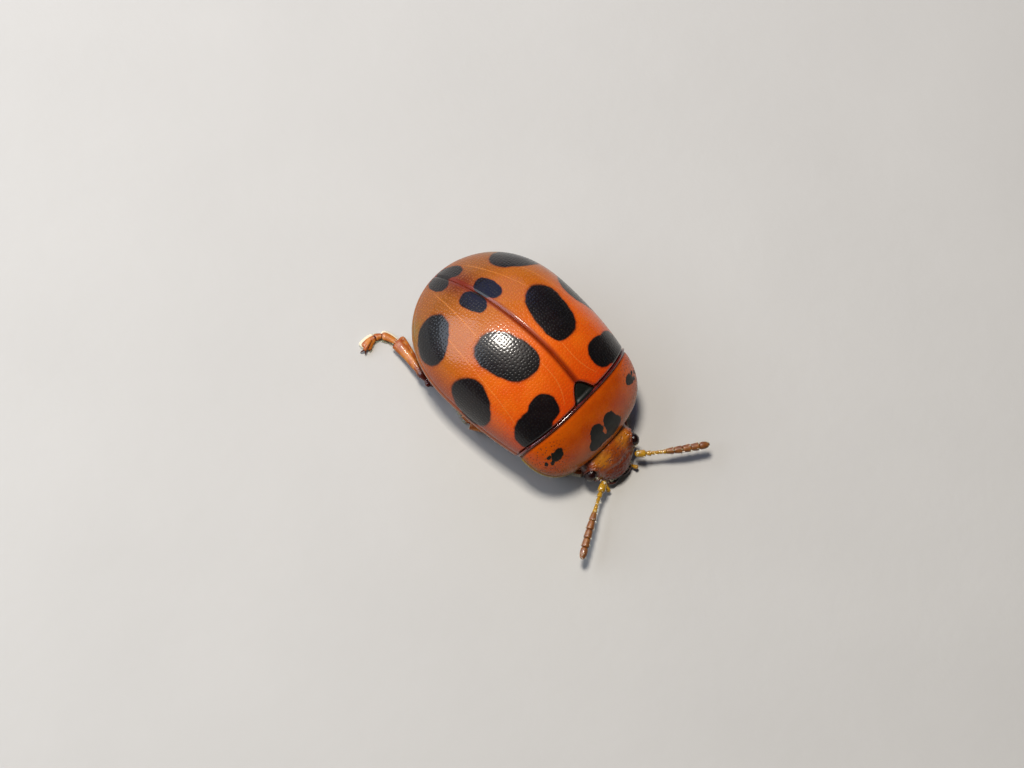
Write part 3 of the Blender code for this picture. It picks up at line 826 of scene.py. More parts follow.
def puncturedHead():
    # rough orange-brown horn: deep punctures break up the gloss, and the upper lip darkens to red
    material, tree, place = newMaterial("puncturedHead", {
        "Roughness": 0.34, "Coat Weight": 0.5, "Coat Roughness": 0.1,
        "Subsurface Weight": 0.1, "Subsurface Radius": (1.0, 0.4, 0.1), "Subsurface Scale": 0.0002,
    })
    flow = node(tree, "Attribute", attribute_name="flow").outputs["Vector"]
    depth = node(tree, "SeparateXYZ", {0: place}).outputs["Y"]
    front = float(head["frontY"] + bodyOrigin[1])
    cloud = node(tree, "TexNoise", {"Vector": place, "Scale": 1 / 0.5} | mottled)
    patch = node(tree, "TexNoise", {"Vector": place, "Scale": 1 / 0.22} | mottled)
    colour = layered(tree, "8D3D01", [
        (cloud, 0.35, 0.68, 1, "A55105"),
        (patch, 0.48, 0.7, 0.75, "681B04"),
        (depth, front + 0.75, front + 0.15, 0.85, "4C0D04"),
    ])
    for middle, near, far, tint, share in headPatches:
        away = node(tree, "VectorMath", {0: flow, 1: middle}, operation="DISTANCE")
        away = node(tree, "Math", {0: patch, 1: 0.3, 2: away.outputs["Value"]}, operation="MULTIPLY_ADD")
        colour = layered(tree, colour, [(away, far + 0.15, near + 0.15, share, tint)])
    field = shownPits(tree, flow, headPits)
    colour = layered(tree, colour, [(field, 0, 1, 0.55, "3D0D03")])
    roughness = node(tree, "MapRange", {0: patch, 1: 0.3, 2: 0.7, 3: 0.26, 4: 0.42}, **smooth)
    lumps = {"Vector": place, "Scale": 1 / 0.11, "Detail": 4, "Roughness": 0.55}
    reliefs = [(field, -headPits["depth"] * 0.5, 1), (node(tree, "TexNoise", lumps), 0.03, 1)]
    return finished(material, colour, roughness, reliefs)


def wetFacetedEye():
    # eyes of hundreds of lenses under one smooth cornea: near-black brown with a wet glint
    shine = {"Roughness": 0.14, "IOR": 1.42, "Coat Weight": 0.1, "Coat Roughness": 0.03}
    material, tree, place = newMaterial("wetFacetedEye", shine)
    # real lenses are about 0.02 mm across; drawn at 0.034 mm so that they show
    lens = node(tree, "TexVoronoi", {"Vector": place, "Scale": 1 / 0.034, "Randomness": 0.25})
    edge = node(tree, "MapRange", {0: lens, 1: 0.2, 2: 0.7}, **smooth)
    cloud = node(tree, "TexNoise", {"Vector": place, "Scale": 1 / 0.2} | mottled)
    colour = layered(tree, "0F0304", [(cloud, 0.35, 0.7, 1, "2A0C08"), (edge, 0, 1, 0.6, "050202")])
    return finished(material, colour, reliefs=[(edge, -0.0025, 1)])


def darkRedMouth():
    # jaws and lip: thick horn, almost black at the biting edges
    shine = {"Roughness": 0.26}
    colours = ("2F0803", "662208")
    return cloudedMaterial("darkRedMouth", shine, colours, (0.18, 0.35, 0.7), (0.04, 2, 0.004))


feeler = {
    "joints": [
        # length, thickness at the base and near the tip, in millimetres
        (0.42, 0.18, 0.28),
        (0.18, 0.13, 0.2),
        (0.15, 0.1, 0.15),
        (0.13, 0.1, 0.15),
        (0.13, 0.1, 0.16),
        (0.13, 0.12, 0.18),
        (0.3, 0.17, 0.26),
        (0.31, 0.22, 0.29),
        (0.31, 0.24, 0.3),
        (0.31, 0.24, 0.3),
        (0.4, 0.24, 0.28),
    ],
    "left": ((0.7, -2.66, -0.99), (1.5, -3.42, -0.93), (2.86, -4.31, -0.93)),
    "right": ((-0.77, -2.56, -0.99), (-1.55, -2.84, -0.93), (-3.44, -3.84, -0.93)),
    "overlap": 1.03,
    "flattening": 0.92,
    "firstThickJoint": 6,
    "bristleLength": 0.11,
    "bristleThickness": 0.013,
}


def feelerShapes(side):
    line = bend(*feeler[side], np.linspace(0, 1, 400))
    reach = reachAlong(line)
    scale = reach[-1] / sum(joint[0] for joint in feeler["joints"])
    share = eased(16)
    shapes, roots, ways = [], [], []
    at = 0.0
    for number, (length, base, tip) in enumerate(feeler["joints"]):
        length *= scale
        path = resampled(at + share * length * feeler["overlap"], reach, line)
        if number == 0:
            thick = mix(base, tip, np.sin(share * pi * 0.62)) * rounded(share, 0.2, 0.25)
        elif number == len(feeler["joints"]) - 1:
            thick = mix(base, tip, np.sin(np.clip(share * 1.7, 0, 1) * pi / 2)) * rounded(share, 0.1, 0.75)
        else:
            thick = mix(base, tip, share**0.8) * rounded(share, 0.08, 0.16)
        joint = limb(path, thick / 2, thick / 2 * feeler["flattening"], around=20)
        joint[2][:, 2] += number
        shapes.append(joint)
        ahead, sideways, up = pathFrames(path)
        for _ in range(5 if number < feeler["firstThickJoint"] else 12):
            turn = chance.uniform(0, 2 * pi)
            row = chance.integers(8, 13)
            out = sideways[row] * cos(turn) + up[row] * sin(turn)
            roots.append(path[row] + out * thick[row] / 2 * 0.95)
            ways.append(out * 0.8 + ahead[row] * chance.uniform(0.5, 1.1))
        at += length
    lengths = feeler["bristleLength"] * chance.uniform(0.6, 1.1, len(roots))
    return shapes, [bristles(roots, ways, lengths, feeler["bristleThickness"], 0.1)]


def amberFeeler():
    # clear amber horn: yellow and glossy in the slim joints, browner and matt in the thick ones that smell
    material, tree, place = newMaterial("amberFeeler", {
        "Coat Weight": 0.5,
        "Subsurface Weight": 0.2, "Subsurface Radius": (1.0, 0.5, 0.12), "Subsurface Scale": 0.00015,
    })
    flow = node(tree, "Attribute", attribute_name="flow").outputs["Vector"]
    count = node(tree, "SeparateXYZ", {0: flow}).outputs["Z"]  # whole numbers where a joint begins
    cloud = node(tree, "TexNoise", {"Vector": place, "Scale": 1 / 0.15} | mottled)
    grain = node(tree, "TexNoise", {"Vector": place, "Scale": 1 / 0.03} | soft)
    # painted shade: each joint darkens towards both ends, in the gaps between joints
    joint = node(tree, "Math", {0: count}, operation="FRACT")
    nearBase = node(tree, "MapRange", {0: joint, 1: 0.14, 2: 0.02}, **smooth)
    nearTip = node(tree, "MapRange", {0: joint, 1: 0.9, 2: 0.99}, **smooth)
    ends = node(tree, "Math", {0: nearBase, 1: nearTip}, operation="MAXIMUM")
    brown = layered(tree, "693811", [(cloud, 0.35, 0.7, 1, "83501E")])
    colour = layered(tree, "946B0B", [
        (cloud, 0.35, 0.7, 1, "B18627"),
        (count, 5.6, 6.6, 1, brown),
        (ends, 0, 1, 0.7, "581D05"),
    ])
    roughness = node(tree, "MapRange", {0: count, 1: 5.0, 2: 7.0, 3: 0.14, 4: 0.42}, **smooth)
    return finished(material, colour, roughness, [(grain, 0.004, 1)])


def paleBristle():
    # stiff hairs: clear pale rods of chitin that catch the light as white dashes
    shine = {"Roughness": 0.35, "Coat Weight": 0.2, "Subsurface Weight": 0.2, "Subsurface Scale": 0.00003}
    return cloudedMaterial("paleBristle", shine, ("C4B992", "D7D1BD"), (0.2, 0.3, 0.7))


leg = {
    "coxaRadii": (0.3, 0.34, 0.2),
    "trochanterRadius": 0.13,
    "trochanterSpan": (0.1, 0.42),
    "thighStart": 0.22,
    "thighThickness": (0.2, 0.44, 0.25),  # at its base, at its fullest and at the knee
    "thighFlattening": 0.92,
    "kneeRadii": (0.105, 0.105, 0.1),
    "shinThickness": (0.18, 0.45),
    "shinRings": [(-0.1, 0.08, 0.07), (0.05, 0.22, 0.05), (-0.05, 0.34, 0.06)],  # swelling, place, width
    "shinFlare": 0.15,
    "shinFlattening": 0.55,
    "shinSlant": 0.35,
    "shinBow": 0.09,
    "shinHairs": 70,
    "footJoints": [
        # from and to as shares of the foot, half width at base and tip, height, shift of its pad
        (0.0, 0.4, 0.09, 0.16, 0.18, 0.09),
        (0.37, 0.55, 0.08, 0.14, 0.14, 0.02),
        (0.5, 0.85, 0.09, 0.22, 0.13, 0.09),
    ],
    "footTop": 0.2,  # heights above the floor
    "padMiddle": 0.055,
    "padHalfHeight": 0.06,
    "clawJointMiddle": 0.16,
    "clawJointSpan": (0.62, 0.9),
    "clawThickness": (0.08, 0.008),
    "footHairs": 120,
    "hairLength": 0.085,
    "hairThickness": 0.011,
    "places": {
        # knee, ankle, then the place that the foot bends towards and the tip of its claws
        "fore_left": ((2.2, -0.15, -1.09), (1.82, -1.3, -1.34), (1.45, -1.72), (1.0, -1.95)),
        "fore_right": ((-2.15, -0.1, -1.1), (-1.5, -1.08, -1.34), (-1.15, -1.5), (-0.72, -1.76)),
        "mid_left": ((2.5, 0.9, -0.93), (3.0, 1.95, -1.34), (3.14, 2.6), (3.06, 3.14)),
        "mid_right": ((-2.12, 0.8, -0.93), (-2.45, 2.22, -1.32), (-2.4, 2.7), (-2.1, 3.15)),
        "hind_left": ((2.55, 3.5, -0.95), (2.1, 5.08, -1.34), (2.05, 5.7), (2.4, 6.12)),
        "hind_right": ((-2.66, 4.12, -0.95), (-2.15, 5.95, -1.32), (-2.2, 6.95), (-3.36, 6.45)),
    },
}


def thighGroove(angle, share):
    # the hollow that takes the folded shin
    return 0.12 * bell(np.cos(angle) + 1, 0.12) * ramp(share, 0.5, 0.8)


def thighShapes(hip, knee):
    way = unit(knee - hip)
    radius = leg["trochanterRadius"] * rounded(np.linspace(0, 1, 12), 0.3, 0.3)
    trochanter = limb(hip + way * np.linspace(*leg["trochanterSpan"], 12)[:, None], radius, radius)
    # the thigh is a spindle, fullest a little before its middle
    share = eased(30)
    path = bend(hip + way * leg["thighStart"], (hip + knee) / 2 + np.array((0, 0, 0.05)), knee, share)
    base, full, end = leg["thighThickness"]
    half = mix(base, full, np.sin(np.clip(share / 0.9, 0, 1) ** 0.85 * pi)) / 2
    half = np.maximum(half, mix(base, end, share) / 2) * rounded(share, 0.06, 0.08)
    thigh = limb(path, half, half * leg["thighFlattening"], around=28, groove=thighGroove)
    thigh[2][:, 2] = 1 - thigh[2][:, 2]  # shares of thigh and shin both run from the knee
    return [trochanter, thigh]


def shinGrooves(angle, share):
    # two furrows along its outer face
    depth = 0.2 * bell(np.sin(angle - 0.5), 0.22) + 0.16 * bell(np.sin(angle - 1.35), 0.18)
    return depth * ramp(np.cos(angle - 0.9), 0, 0.4) * ramp(share, 0.12, 0.4)


def shinShapes(knee, ankle, roots, ways):
    # a narrow bent neck, widening to a cut-off end; adds its hairs to roots and ways
    share = eased(30)
    side = np.sign(knee[0])
    outward = unit((ankle - knee) * np.array((1, 1, 0)))
    bow = np.array((-outward[1], outward[0], 0)) * leg["shinBow"] * side
    path = bend(knee, (knee + ankle) / 2 + bow, ankle, share)
    narrow, wide = leg["shinThickness"]
    half = mix(narrow, wide, 1 - (1 - share) ** 2.6) + leg["shinFlare"] * ramp(share, 0.55, 1.0)
    for swelling, at, width in leg["shinRings"]:
        half = half + swelling * bell(share - at, width)
    half = half / 2 * rounded(share, 0.03, 0.04)
    flat = mix(1.0, leg["shinFlattening"], share)
    shin = limb(path, half, half * flat, around=40, groove=shinGrooves, slant=-side * leg["shinSlant"])
    kneeBall = ball(knee, leg["kneeRadii"], around=24, rows=16)
    kneeBall[2][:] = 0
    ahead, sideways, up = pathFrames(path)
    for _ in range(leg["shinHairs"]):
        row = int(29 * chance.uniform(0.35, 1) ** 0.5)
        turn = chance.uniform(0, 2 * pi)
        out = sideways[row] * cos(turn) + up[row] * sin(turn) * flat[row]
        roots.append(path[row] + out * half[row] * 0.94)
        ways.append(out * 0.55 + ahead[row])
    spurs = []
    for turn in (-0.5, 0.5):
        out = sideways[-2] * sin(turn) - up[-2] * cos(turn)
        root = path[-2] + out * half[-2] * 0.7
        spurs.append(bristles([root], [ahead[-2] + out * 0.5], 0.17, 0.05, 0.1))
    return [kneeBall, shin], spurs


def footShapes(knee, ankle, bendAt, tip, roots, ways):
    # two lobed joints, a heart-shaped one, and the slim joint that carries the claws
    top = floorHeight + leg["footTop"]
    heel = np.array((*mix(ankle, knee, 0.07)[:2], top))
    line = bend(heel, (*bendAt, top), (*tip, top), np.linspace(0, 1, 200))
    reach = reachAlong(line)
    horn, pads, claws = [], [], []
    share = np.linspace(0, 1, 22)
    for first, last, narrow, wide, lift, padShift in leg["footJoints"]:
        path = resampled(mix(first, last, share) * reach[-1], reach, line)
        path[:, 2] = floorHeight + lift - 0.02 * share
        half = mix(narrow, wide, share**0.9) * rounded(share, 0.12, 0.2)
        joint = limb(path, half, mix(0.07, 0.055, share) * rounded(share, 0.12, 0.2), around=20)
        joint[2][:, 2] += 0.2  # the foot stays paler than the knee
        horn.append(joint)
        across = pathFrames(path)[1]
        padPath = path - across * np.sign(knee[0]) * padShift
        padPath[:, 2] = floorHeight + leg["padMiddle"]
        padHeight = np.full(19, leg["padHalfHeight"])
        pads.append(limb(padPath[3:], half[3:], padHeight, around=20, floor=floorHeight + clearance))
        for _ in range(leg["footHairs"]):
            row = chance.integers(5, 22)
            edge = chance.choice((-1.0, 1.0)) * chance.uniform(0.75, 1.05)
            root = path[row] + across[row] * half[row] * edge
            root[2] = floorHeight + chance.uniform(0.035, 0.09)
            roots.append(root)
            ways.append(across[row] * edge + unit(path[-1] - path[0]) * 0.8 - np.array((0, 0, 0.3)))
    share = np.linspace(0, 1, 18)
    path = resampled(mix(*leg["clawJointSpan"], share) * reach[-1], reach, line)
    path[:, 2] = floorHeight + leg["clawJointMiddle"] + 0.06 * np.sin(share * pi) - 0.02 * share
    ends = rounded(share)
    joint = limb(path, mix(0.045, 0.075, share) * ends, mix(0.045, 0.07, share) * ends, around=16)
    joint[2][:, 2] += 0.3
    horn.append(joint)
    way = unit(path[-1] - path[-3])
    across = unit(np.cross(way, (0, 0, 1)))
    share = np.linspace(0, 1, 14)
    taper = mix(*leg["clawThickness"], share) / 2
    for sign in (-1, 1):
        crook = path[-1] + way * 0.12 + across * sign * 0.1 + np.array((0, 0, 0.03))
        point = path[-1] + way * 0.06 + across * sign * 0.1 - np.array((0, 0, 0.12))
        clawPath = bend(path[-2] + across * sign * 0.03, crook, point, share)
        claws.append(limb(clawPath, taper, taper, around=10, floor=floorHeight + clearance))
    return horn, pads, claws


def legShapes(name):
    knee, ankle, bendAt, tip = (np.array(p, float) for p in leg["places"][name])
    # the hip stands in the middle of its solid
    low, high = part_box(name + "_coxa")
    hip = np.array((low + high) / 2) / millimetre - bodyOrigin
    roots, ways = [], []
    thigh = thighShapes(hip, knee)
    shin, spurs = shinShapes(knee, ankle, roots, ways)
    horn, pads, claws = footShapes(knee, ankle, bendAt, tip, roots, ways)
    lengths = leg["hairLength"] * chance.uniform(0.6, 1.2, len(roots))
    hairs = bristles(roots, ways, lengths, leg["hairThickness"], 0.15)
    hairs[0][:, 2] = np.maximum(hairs[0][:, 2], floorHeight + clearance / 2)
    return [ball(hip, leg["coxaRadii"])], thigh, shin, horn, pads, spurs + claws, [hairs]


def amberLeg():
    # reddish amber horn: clear and glossy over the thigh, dusted with fine hairs towards the foot
    material, tree, place = newMaterial("amberLeg", {
        "IOR": 1.45, "Coat Weight": 0.15,
        "Subsurface Weight": 0.15, "Subsurface Radius": (1.0, 0.4, 0.1), "Subsurface Scale": 0.00018,
    })
    flow = node(tree, "Attribute", attribute_name="flow").outputs["Vector"]
    fromKnee = node(tree, "SeparateXYZ", {0: flow}).outputs["Z"]
    cloud = node(tree, "TexNoise", {"Vector": place, "Scale": 1 / 0.3} | mottled)
    fleck = node(tree, "TexNoise", {"Vector": place, "Scale": 1 / 0.07} | mottled)
    colour = layered(tree, "8A3B07", [
        (cloud, 0.35, 0.68, 1, "AC6619"),
        (fleck, 0.55, 0.75, 0.5, "BD7E31"),
        (fromKnee, 0.44, 0.3, 0.94, "3F070C"),
    ])
    satin = node(tree, "MapRange", {0: fleck, 1: 0.3, 2: 0.7, 3: 0, 4: 0.14}, **smooth)
    dusty = node(tree, "MapRange", {0: fromKnee, 1: 0.25, 2: 0.5, 3: 0.14, 4: 0.36}, **smooth)
    roughness = node(tree, "Math", {0: satin, 1: dusty}, operation="ADD")
    return finished(material, colour, roughness, [(fleck, 0.01, 1)])


def goldenPad():
    # brushes of sticky hairs under the foot: matt, pale gold
    shine = {"Roughness": 0.7, "Coat Weight": 0.0, "Sheen Weight": 0.4}
    return cloudedMaterial("goldenPad", shine, ("C5B281", "D7D4C5"), (0.02, 0, 1), (0.02, 2, 0.01))


def darkClaw():
    # solid horn points: dark brown, clear at the tips
    colours = ("230903", "5C250A")
    return cloudedMaterial("darkClaw", {"Roughness": 0.18}, colours, (0.08, 0, 1), (0.02, 1, 0.001))


underside = {
    "inset": 0.54,  # how far the trunk lies inside the wing cases
    "depth": 0.72,
    "squareness": 2.4,
    "thoraxSpan": (-0.012, 0.478),
    "abdomenSpan": (0.474, 0.985),
    "throatShares": (0, 0.93),
    "throatWidth": 0.93,
    "throatInset": (0.45, 0.08),  # at its middle, and everywhere
    "throatDepth": (0.86, 0.62),
    "plates": 5,
    "platesFrom": 2.95,
    "platesTo": 5.9,
    "archColumns": 31,
    "keelColumns": 59,
}
bellyPits = {"spacing": 0.16, "radius": 0.05, "depth": 0.01, "randomness": 1.0, "dimensions": "3D"}


def underBody(upper, depth):
    # closes an arch with a shallow keel; also gives the shares of its width and depth at the keel
    left, right = upper[:, :1], upper[:, -1:]
    angle = np.linspace(pi / 2, -pi / 2, underside["keelColumns"] + 2)[None, 1:-1]
    side, down = arch(angle, underside["squareness"])
    middle, width = (left + right) / 2, (right[..., 0] - left[..., 0]) / 2
    below = stacked(middle[..., 0] + side * width, middle[..., 1], middle[..., 2] - down * depth)
    rings = np.concatenate([upper, below], axis=1)
    pitted = np.zeros(rings.shape[:2])
    pitted[:, upper.shape[1]:] = 1
    return rings, pitted, side, down


def trunkShape(span, rows, closing, grooves):
    c, inset, columns = wingCase, underside["inset"], underside["archColumns"]
    along = np.linspace(0, 1, rows)[:, None]
    share = mix(*span, np.sin(along * pi / 2) if closing else along)
    width = caseHalfWidth(share) * (1 - inset / c["halfWidth"])
    height = caseHeight(share) * (1 - inset / c["crestHeight"])
    x, up = arch(np.linspace(-pi / 2, pi / 2, columns)[None, :], c["squareness"])
    y = share * (c["length"] - inset) + 0.04
    y = y + baseLine(x) * np.clip(1 - y, 0, 1) ** 3
    upper = np.stack([x * width, y, up * height], -1)
    rings, pitted, side, down = underBody(upper, np.minimum(underside["depth"], width / 2))
    rings[:, columns:, 2] += grooves(side, rings[:, columns:, 1] + 0.12 * side**2) * down**0.5
    return loft(rings, rings, pitted)


def thoraxGrooves(side, place):
    # a line down the middle, one across, and the slanting one behind the middle hips
    middle = 0.05 * bell(side, 0.03) * ramp(place, 1.6, 1.9)
    return middle + 0.06 * bell(place - 1.0, 0.04) + 0.04 * bell(place - 2.55 + 0.15 * np.abs(side), 0.035)


def abdomenGrooves(side, place):
    # overlapping plates, each stepping down a little behind its front edge
    step = (underside["platesTo"] - underside["platesFrom"]) / underside["plates"]
    phase = ((place - underside["platesFrom"]) / step) % 1
    return 0.06 * bell(phase - 0.04, 0.045) + 0.03 * (1 - phase)


def prosternumShape():
    u = underside
    share = np.linspace(*u["throatShares"], 50)[:, None]
    angle = np.linspace(-pi / 2, pi / 2, u["archColumns"])[None, :]
    middleInset, inset = u["throatInset"]
    upper = pronotumPoint(share, angle) * np.array((u["throatWidth"], 1, 1))
    upper[..., 2] -= middleInset * np.cos(angle) + inset
    rings, pitted, side, down = underBody(upper, mix(*u["throatDepth"], share))
    keel = 0.05 * bell(side, 0.1) - 0.08 * bell(np.abs(side) - 0.42, 0.16)
    rings[:, u["archColumns"]:, 2] -= keel * down**0.5
    return loft(rings, rings, pitted)


def puncturedBrownBelly():
    # thinner horn of the underside: brown with orange edges, finely punctured
    shine = {"Coat Weight": 0.3, "Coat Roughness": 0.15}
    material, tree, place = newMaterial("puncturedBrownBelly", shine)
    cloud = node(tree, "TexNoise", {"Vector": place, "Scale": 1 / 0.7} | mottled)
    wear = node(tree, "TexNoise", {"Vector": place, "Scale": 1 / 0.2} | mottled)
    x = node(tree, "SeparateXYZ", {0: place}).outputs["X"]
    fromMiddle = node(tree, "Math", {0: x, 1: float(bodyOrigin[0])}, operation="SUBTRACT")
    fromMiddle = node(tree, "Math", {0: fromMiddle}, operation="ABSOLUTE")
    field = pitField(tree, place, bellyPits)
    colour = layered(tree, "5C1E05", [
        (cloud, 0.35, 0.68, 1, "813D0F"),
        (fromMiddle, 1.3, 2.4, 0.8, "A86117"),
        (field, 0, 1, 0.5, "2F0D03"),
    ])
    roughness = node(tree, "MapRange", {0: wear, 1: 0.3, 2: 0.7, 3: 0.26, 4: 0.42}, **smooth)
    return finished(material, colour, roughness, [(field, -bellyPits["depth"] * 0.6, 1)])


mouth = {
    "lipHalfWidth": 0.42,
    "lipThickness": (0.22, 0.11),
    "lipForward": 0.1,
    "lipBelow": 0.22,
    # the left jaw and palps, each from its root over a bend to its tip; the right ones mirror them
    "jaw": ((0.5, -2.5, -1.3), (0.5, -2.95, -1.34), (0.04, -2.84, -1.4)),
    "palp": ((0.42, -2.45, -1.42), (0.62, -2.85, -1.46), (0.7, -3.0, -1.36)),
    "innerPalp": ((0.15, -2.5, -1.45), (0.2, -2.8, -1.5), (0.22, -2.9, -1.46)),
    # from and to as shares of the palp, then half its thickness at base and tip
    "palpJoints": [(0, 0.3, 0.03, 0.05), (0.28, 0.6, 0.035, 0.07), (0.56, 1.0, 0.05, 0.085)],
    "jawHalfWidth": (0.15, 0.03),
    "jawHalfHeight": (0.1, 0.025),
    "innerPalpRadius": 0.045,
    "chinCentre": (0, -2.42, -1.32),
    "chinRadii": (0.42, 0.32, 0.14),
}


def mouthShapes():
    m = mouth
    share = eased(24)
    x = mix(-m["lipHalfWidth"], m["lipHalfWidth"], share)
    y = head["frontY"] + m["lipForward"] + 0.1 * mix(-1, 1, share) ** 2
    wide, high = (thick / 2 * rounded(share, 0.3, 0.3) for thick in m["lipThickness"])
    lip = limb(turned(stacked(x, y, head["frontTop"] - m["lipBelow"])), wide, high, around=20)
    jaws, palps = [], []
    for sign in (-1, 1):
        mirror = np.array((sign, 1, 1))
        share = eased(20)
        ends = rounded(share, 0.2, 0.1)
        path = turned(bend(*m["jaw"], share) * mirror)
        wide, high = mix(*m["jawHalfWidth"], share), mix(*m["jawHalfHeight"], share)
        jaws.append(limb(path, wide * ends, high * ends))
        steps = np.linspace(0, 1, 100)
        line = turned(bend(*m["palp"], steps) * mirror)
        share = eased(16)
        for first, last, narrow, wide in m["palpJoints"]:
            thick = mix(narrow, wide, share**0.7) * rounded(share, 0.15, 0.3)
            palps.append(limb(resampled(mix(first, last, share), steps, line), thick, thick, around=16))
        share = eased(14)
        thick = m["innerPalpRadius"] * rounded(share, 0.2, 0.3)
        palps.append(limb(turned(bend(*m["innerPalp"], share) * mirror), thick, thick, around=14))
    return lip, jaws, palps, ball(turned(m["chinCentre"]), m["chinRadii"])


def headHairs():
    # short pale hairs along the front edge of the head and around the eyes
    roots, ways = [], []
    for _ in range(head["frontHairs"]):
        x = chance.uniform(-0.62, 0.62)
        below = chance.uniform(0.02, 0.16)
        roots.append((x, head["frontY"] + 0.05 + 0.3 * x * x, head["frontTop"] - below))
        ways.append((x * 0.5, -1, -0.5))
    for sign in (-1, 1):
        for _ in range(head["eyeHairs"]):
            y = chance.uniform(-2.7, -2.35)
            roots.append((sign * (0.93 + (y + 2.35) * 0.5), y, -0.75 + (y + 2.5) * 0.4))
            ways.append((sign, -0.4, 0.4))
    lengths = head["hairLength"] * chance.uniform(0.5, 1.2, len(roots))
    return bristles(turned(np.array(roots)), ways, lengths, head["hairThickness"], 0.3)


bellySkin = puncturedBrownBelly()
shellSkin = waxedOrangeWingCase()
hairSkin = paleBristle()
for side, sign in (("left", 1), ("right", -1)):
    shape = wingCaseShape(sign)
    made = piece(f"wing_case_{side}", [shape], shellSkin, [f"elytron_{side}"], sharp=75)
    pressPits(made, wingCasePits)
print("wing cases made")

piece("shield", [scutellumShape()], waxedBlackShield(), ["scutellum"])
made = piece("pronotum_plate", [pronotumShape()], waxedPronotum(), ["pronotum"], sharp=75)
pressPits(made, pronotumPits)
piece("pronotum_hind_rim", [hindRimShape()], glossyDarkRim())
print("pronotum made")

made = piece("head_capsule", [headShape()], puncturedHead(), ["head"], sharp=75)
pressPits(made, headPits)
eyeSkin = wetFacetedEye()
for side, sign in (("left", 1), ("right", -1)):
    x, y, z = head["eyeCentre"]
    eye = ball(turned((sign * x, y, z)), head["eyeRadii"], around=64, rows=44)
    piece(f"eye_lens_{side}", [eye], eyeSkin, [f"eye_{side}"])
lip, jaws, palps, chin = mouthShapes()
mouthSkin = darkRedMouth()
feelerSkin = amberFeeler()
piece("upper_lip", [lip], mouthSkin)
piece("jaws", jaws + [chin], mouthSkin, ["mouthparts"])
piece("palps", palps, feelerSkin)
piece("head_hairs", [headHairs()], hairSkin)
for side in ("left", "right"):
    joints, hairs = feelerShapes(side)
    piece(f"feeler_{side}", joints, feelerSkin, [f"antenna_{side}"])
    piece(f"feeler_{side}_hairs", hairs, hairSkin)
print("head made")

legSkin, padSkin, clawSkin = amberLeg(), goldenPad(), darkClaw()
# in the order in which legShapes gives them
legParts = [
    ("hip", legSkin, ["coxa"]),
    ("thigh", legSkin, ["femur"]),
    ("shin", legSkin, ["tibia"]),
    ("foot", legSkin, ["tarsus"]),
    ("foot_pads", padSkin, []),
    ("claws", clawSkin, []),
    ("hairs", hairSkin, []),
]
for name in leg["places"]:
    for (part, skin, solids), shapes in zip(legParts, legShapes(name)):
        piece(f"{name}_{part}", shapes, skin, [f"{name}_{solid}" for solid in solids])
print("legs made")

undersideParts = [
    ("chest", "thorax", trunkShape(underside["thoraxSpan"], 90, False, thoraxGrooves)),
    ("belly", "abdomen", trunkShape(underside["abdomenSpan"], 120, True, abdomenGrooves)),
    ("throat", "prosternum", prosternumShape()),
]
for name, solid, shape in undersideParts:
    pressPits(piece(name, [shape], bellySkin, [solid]), bellyPits)
print("underside made")

studio = {
    "cameraAzimuth": -175.887,  # from the beetle's left towards its tail, in degrees
    "cameraElevation": 69.236,
    "cameraRoll": 39.58,
    "cameraDistance": 144,  # millimetres
    "lens": 147.6,
    "shift": (-0.0585, 0.0224),
    "clip": (0.01, 10),  # metres, like the floor
    "floorSize": 1.6,
    "ambient": 0.06,
}
# azimuth, elevation, distance, width and height in mm, watts, colour
lights = {
    "keySoftbox": (94, 67, 150, 32, 30, 0.28, "FFF8EE"),
    "rearPanel": (122, 32, 110, 112, 66, 0.105, "E2EEFF"),
    "rearSky": (56, 27, 110, 84, 50, 0.016, "8EAAFF"),
}


def direction(azimuth, elevation):
    a, e = radians(azimuth), radians(elevation)
    return Vector((cos(a) * cos(e), sin(a) * cos(e), sin(e)))


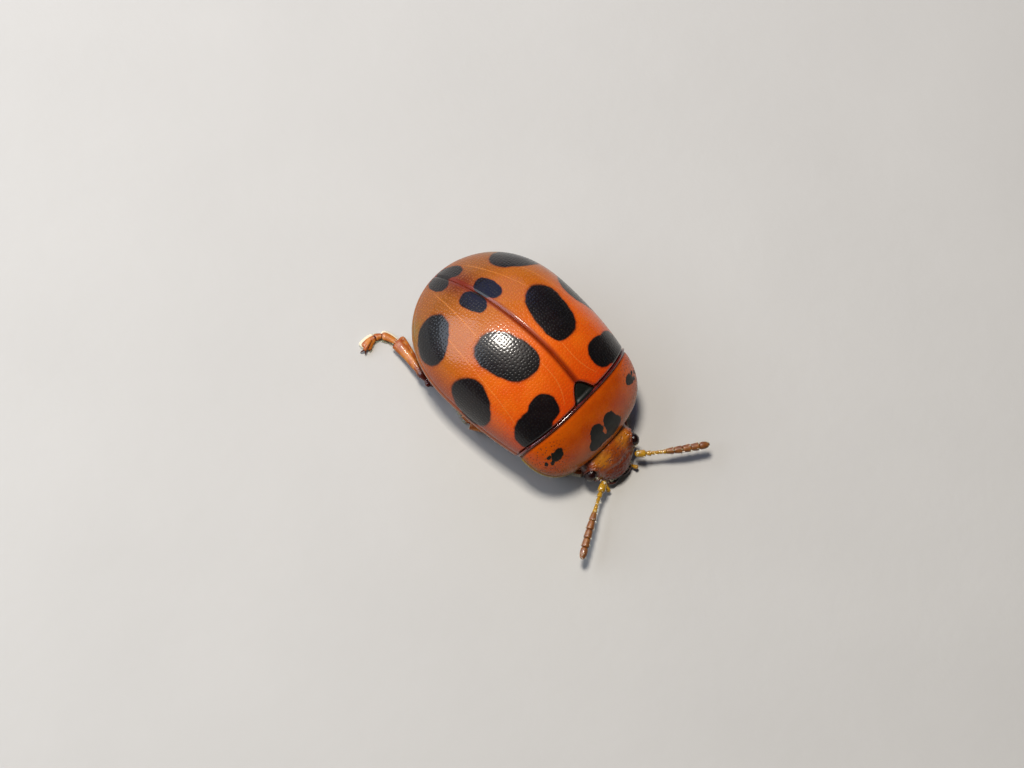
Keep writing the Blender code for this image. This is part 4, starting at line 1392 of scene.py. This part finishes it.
def paintedFloorBoard():
    # a smooth board under matt white paint: soft shadows and hardly any gloss
    shine = {"Roughness": 0.75, "Coat Weight": 0.0, "IOR": 1.45}
    return cloudedMaterial("paintedFloorBoard", shine, ("ADABA7", "B4B2AE"), (6.0, 0, 1), (0.6, 3, 0.01))


floorMesh = bpy.data.meshes.new("floor")
half = studio["floorSize"] / 2
corners = [(-half, -half, 0), (half, -half, 0), (half, half, 0), (-half, half, 0)]
floorMesh.from_pydata(corners, [], [(0, 1, 2, 3)])
floorMesh.materials.append(paintedFloorBoard())
floor = bpy.data.objects.new("floor", floorMesh)
bpy.context.scene.collection.objects.link(floor)

aim = Vector(bodyOrigin * millimetre)
for name, (azimuth, elevation, distance, width, height, power, colour) in lights.items():
    lamp = bpy.data.lights.new(name, "AREA")
    lamp.shape = "RECTANGLE"
    lamp.size, lamp.size_y = width * millimetre, height * millimetre
    lamp.energy = power
    lamp.color = linear(colour)[:3]
    made = bpy.data.objects.new(name, lamp)
    way = direction(azimuth, elevation)
    made.location = aim + way * distance * millimetre
    made.rotation_euler = way.to_track_quat("Z", "Y").to_euler()
    bpy.context.scene.collection.objects.link(made)

world = bpy.data.worlds.new("studio")
world.use_nodes = True
world.node_tree.nodes["Background"].inputs["Color"].default_value = linear("E6E8EC")
world.node_tree.nodes["Background"].inputs["Strength"].default_value = studio["ambient"]
bpy.context.scene.world = world
bpy.context.scene.view_settings.view_transform = "Standard"

back = direction(studio["cameraAzimuth"], studio["cameraElevation"])
level = Vector((0, 0, 1)).cross(back).normalized()
upright = back.cross(level)
roll = radians(studio["cameraRoll"])
right = level * cos(roll) + upright * sin(roll)
camera = bpy.data.objects.new("camera", bpy.data.cameras.new("camera"))
camera.data.lens = studio["lens"]
camera.data.shift_x, camera.data.shift_y = studio["shift"]
camera.data.clip_start, camera.data.clip_end = studio["clip"]
turnedBy = Matrix((right, back.cross(right), back)).transposed()
stand = Matrix.Translation(aim + back * studio["cameraDistance"] * millimetre)
camera.matrix_world = stand @ turnedBy.to_4x4()
bpy.context.scene.collection.objects.link(camera)
bpy.context.scene.camera = camera
print("camera and lights placed")
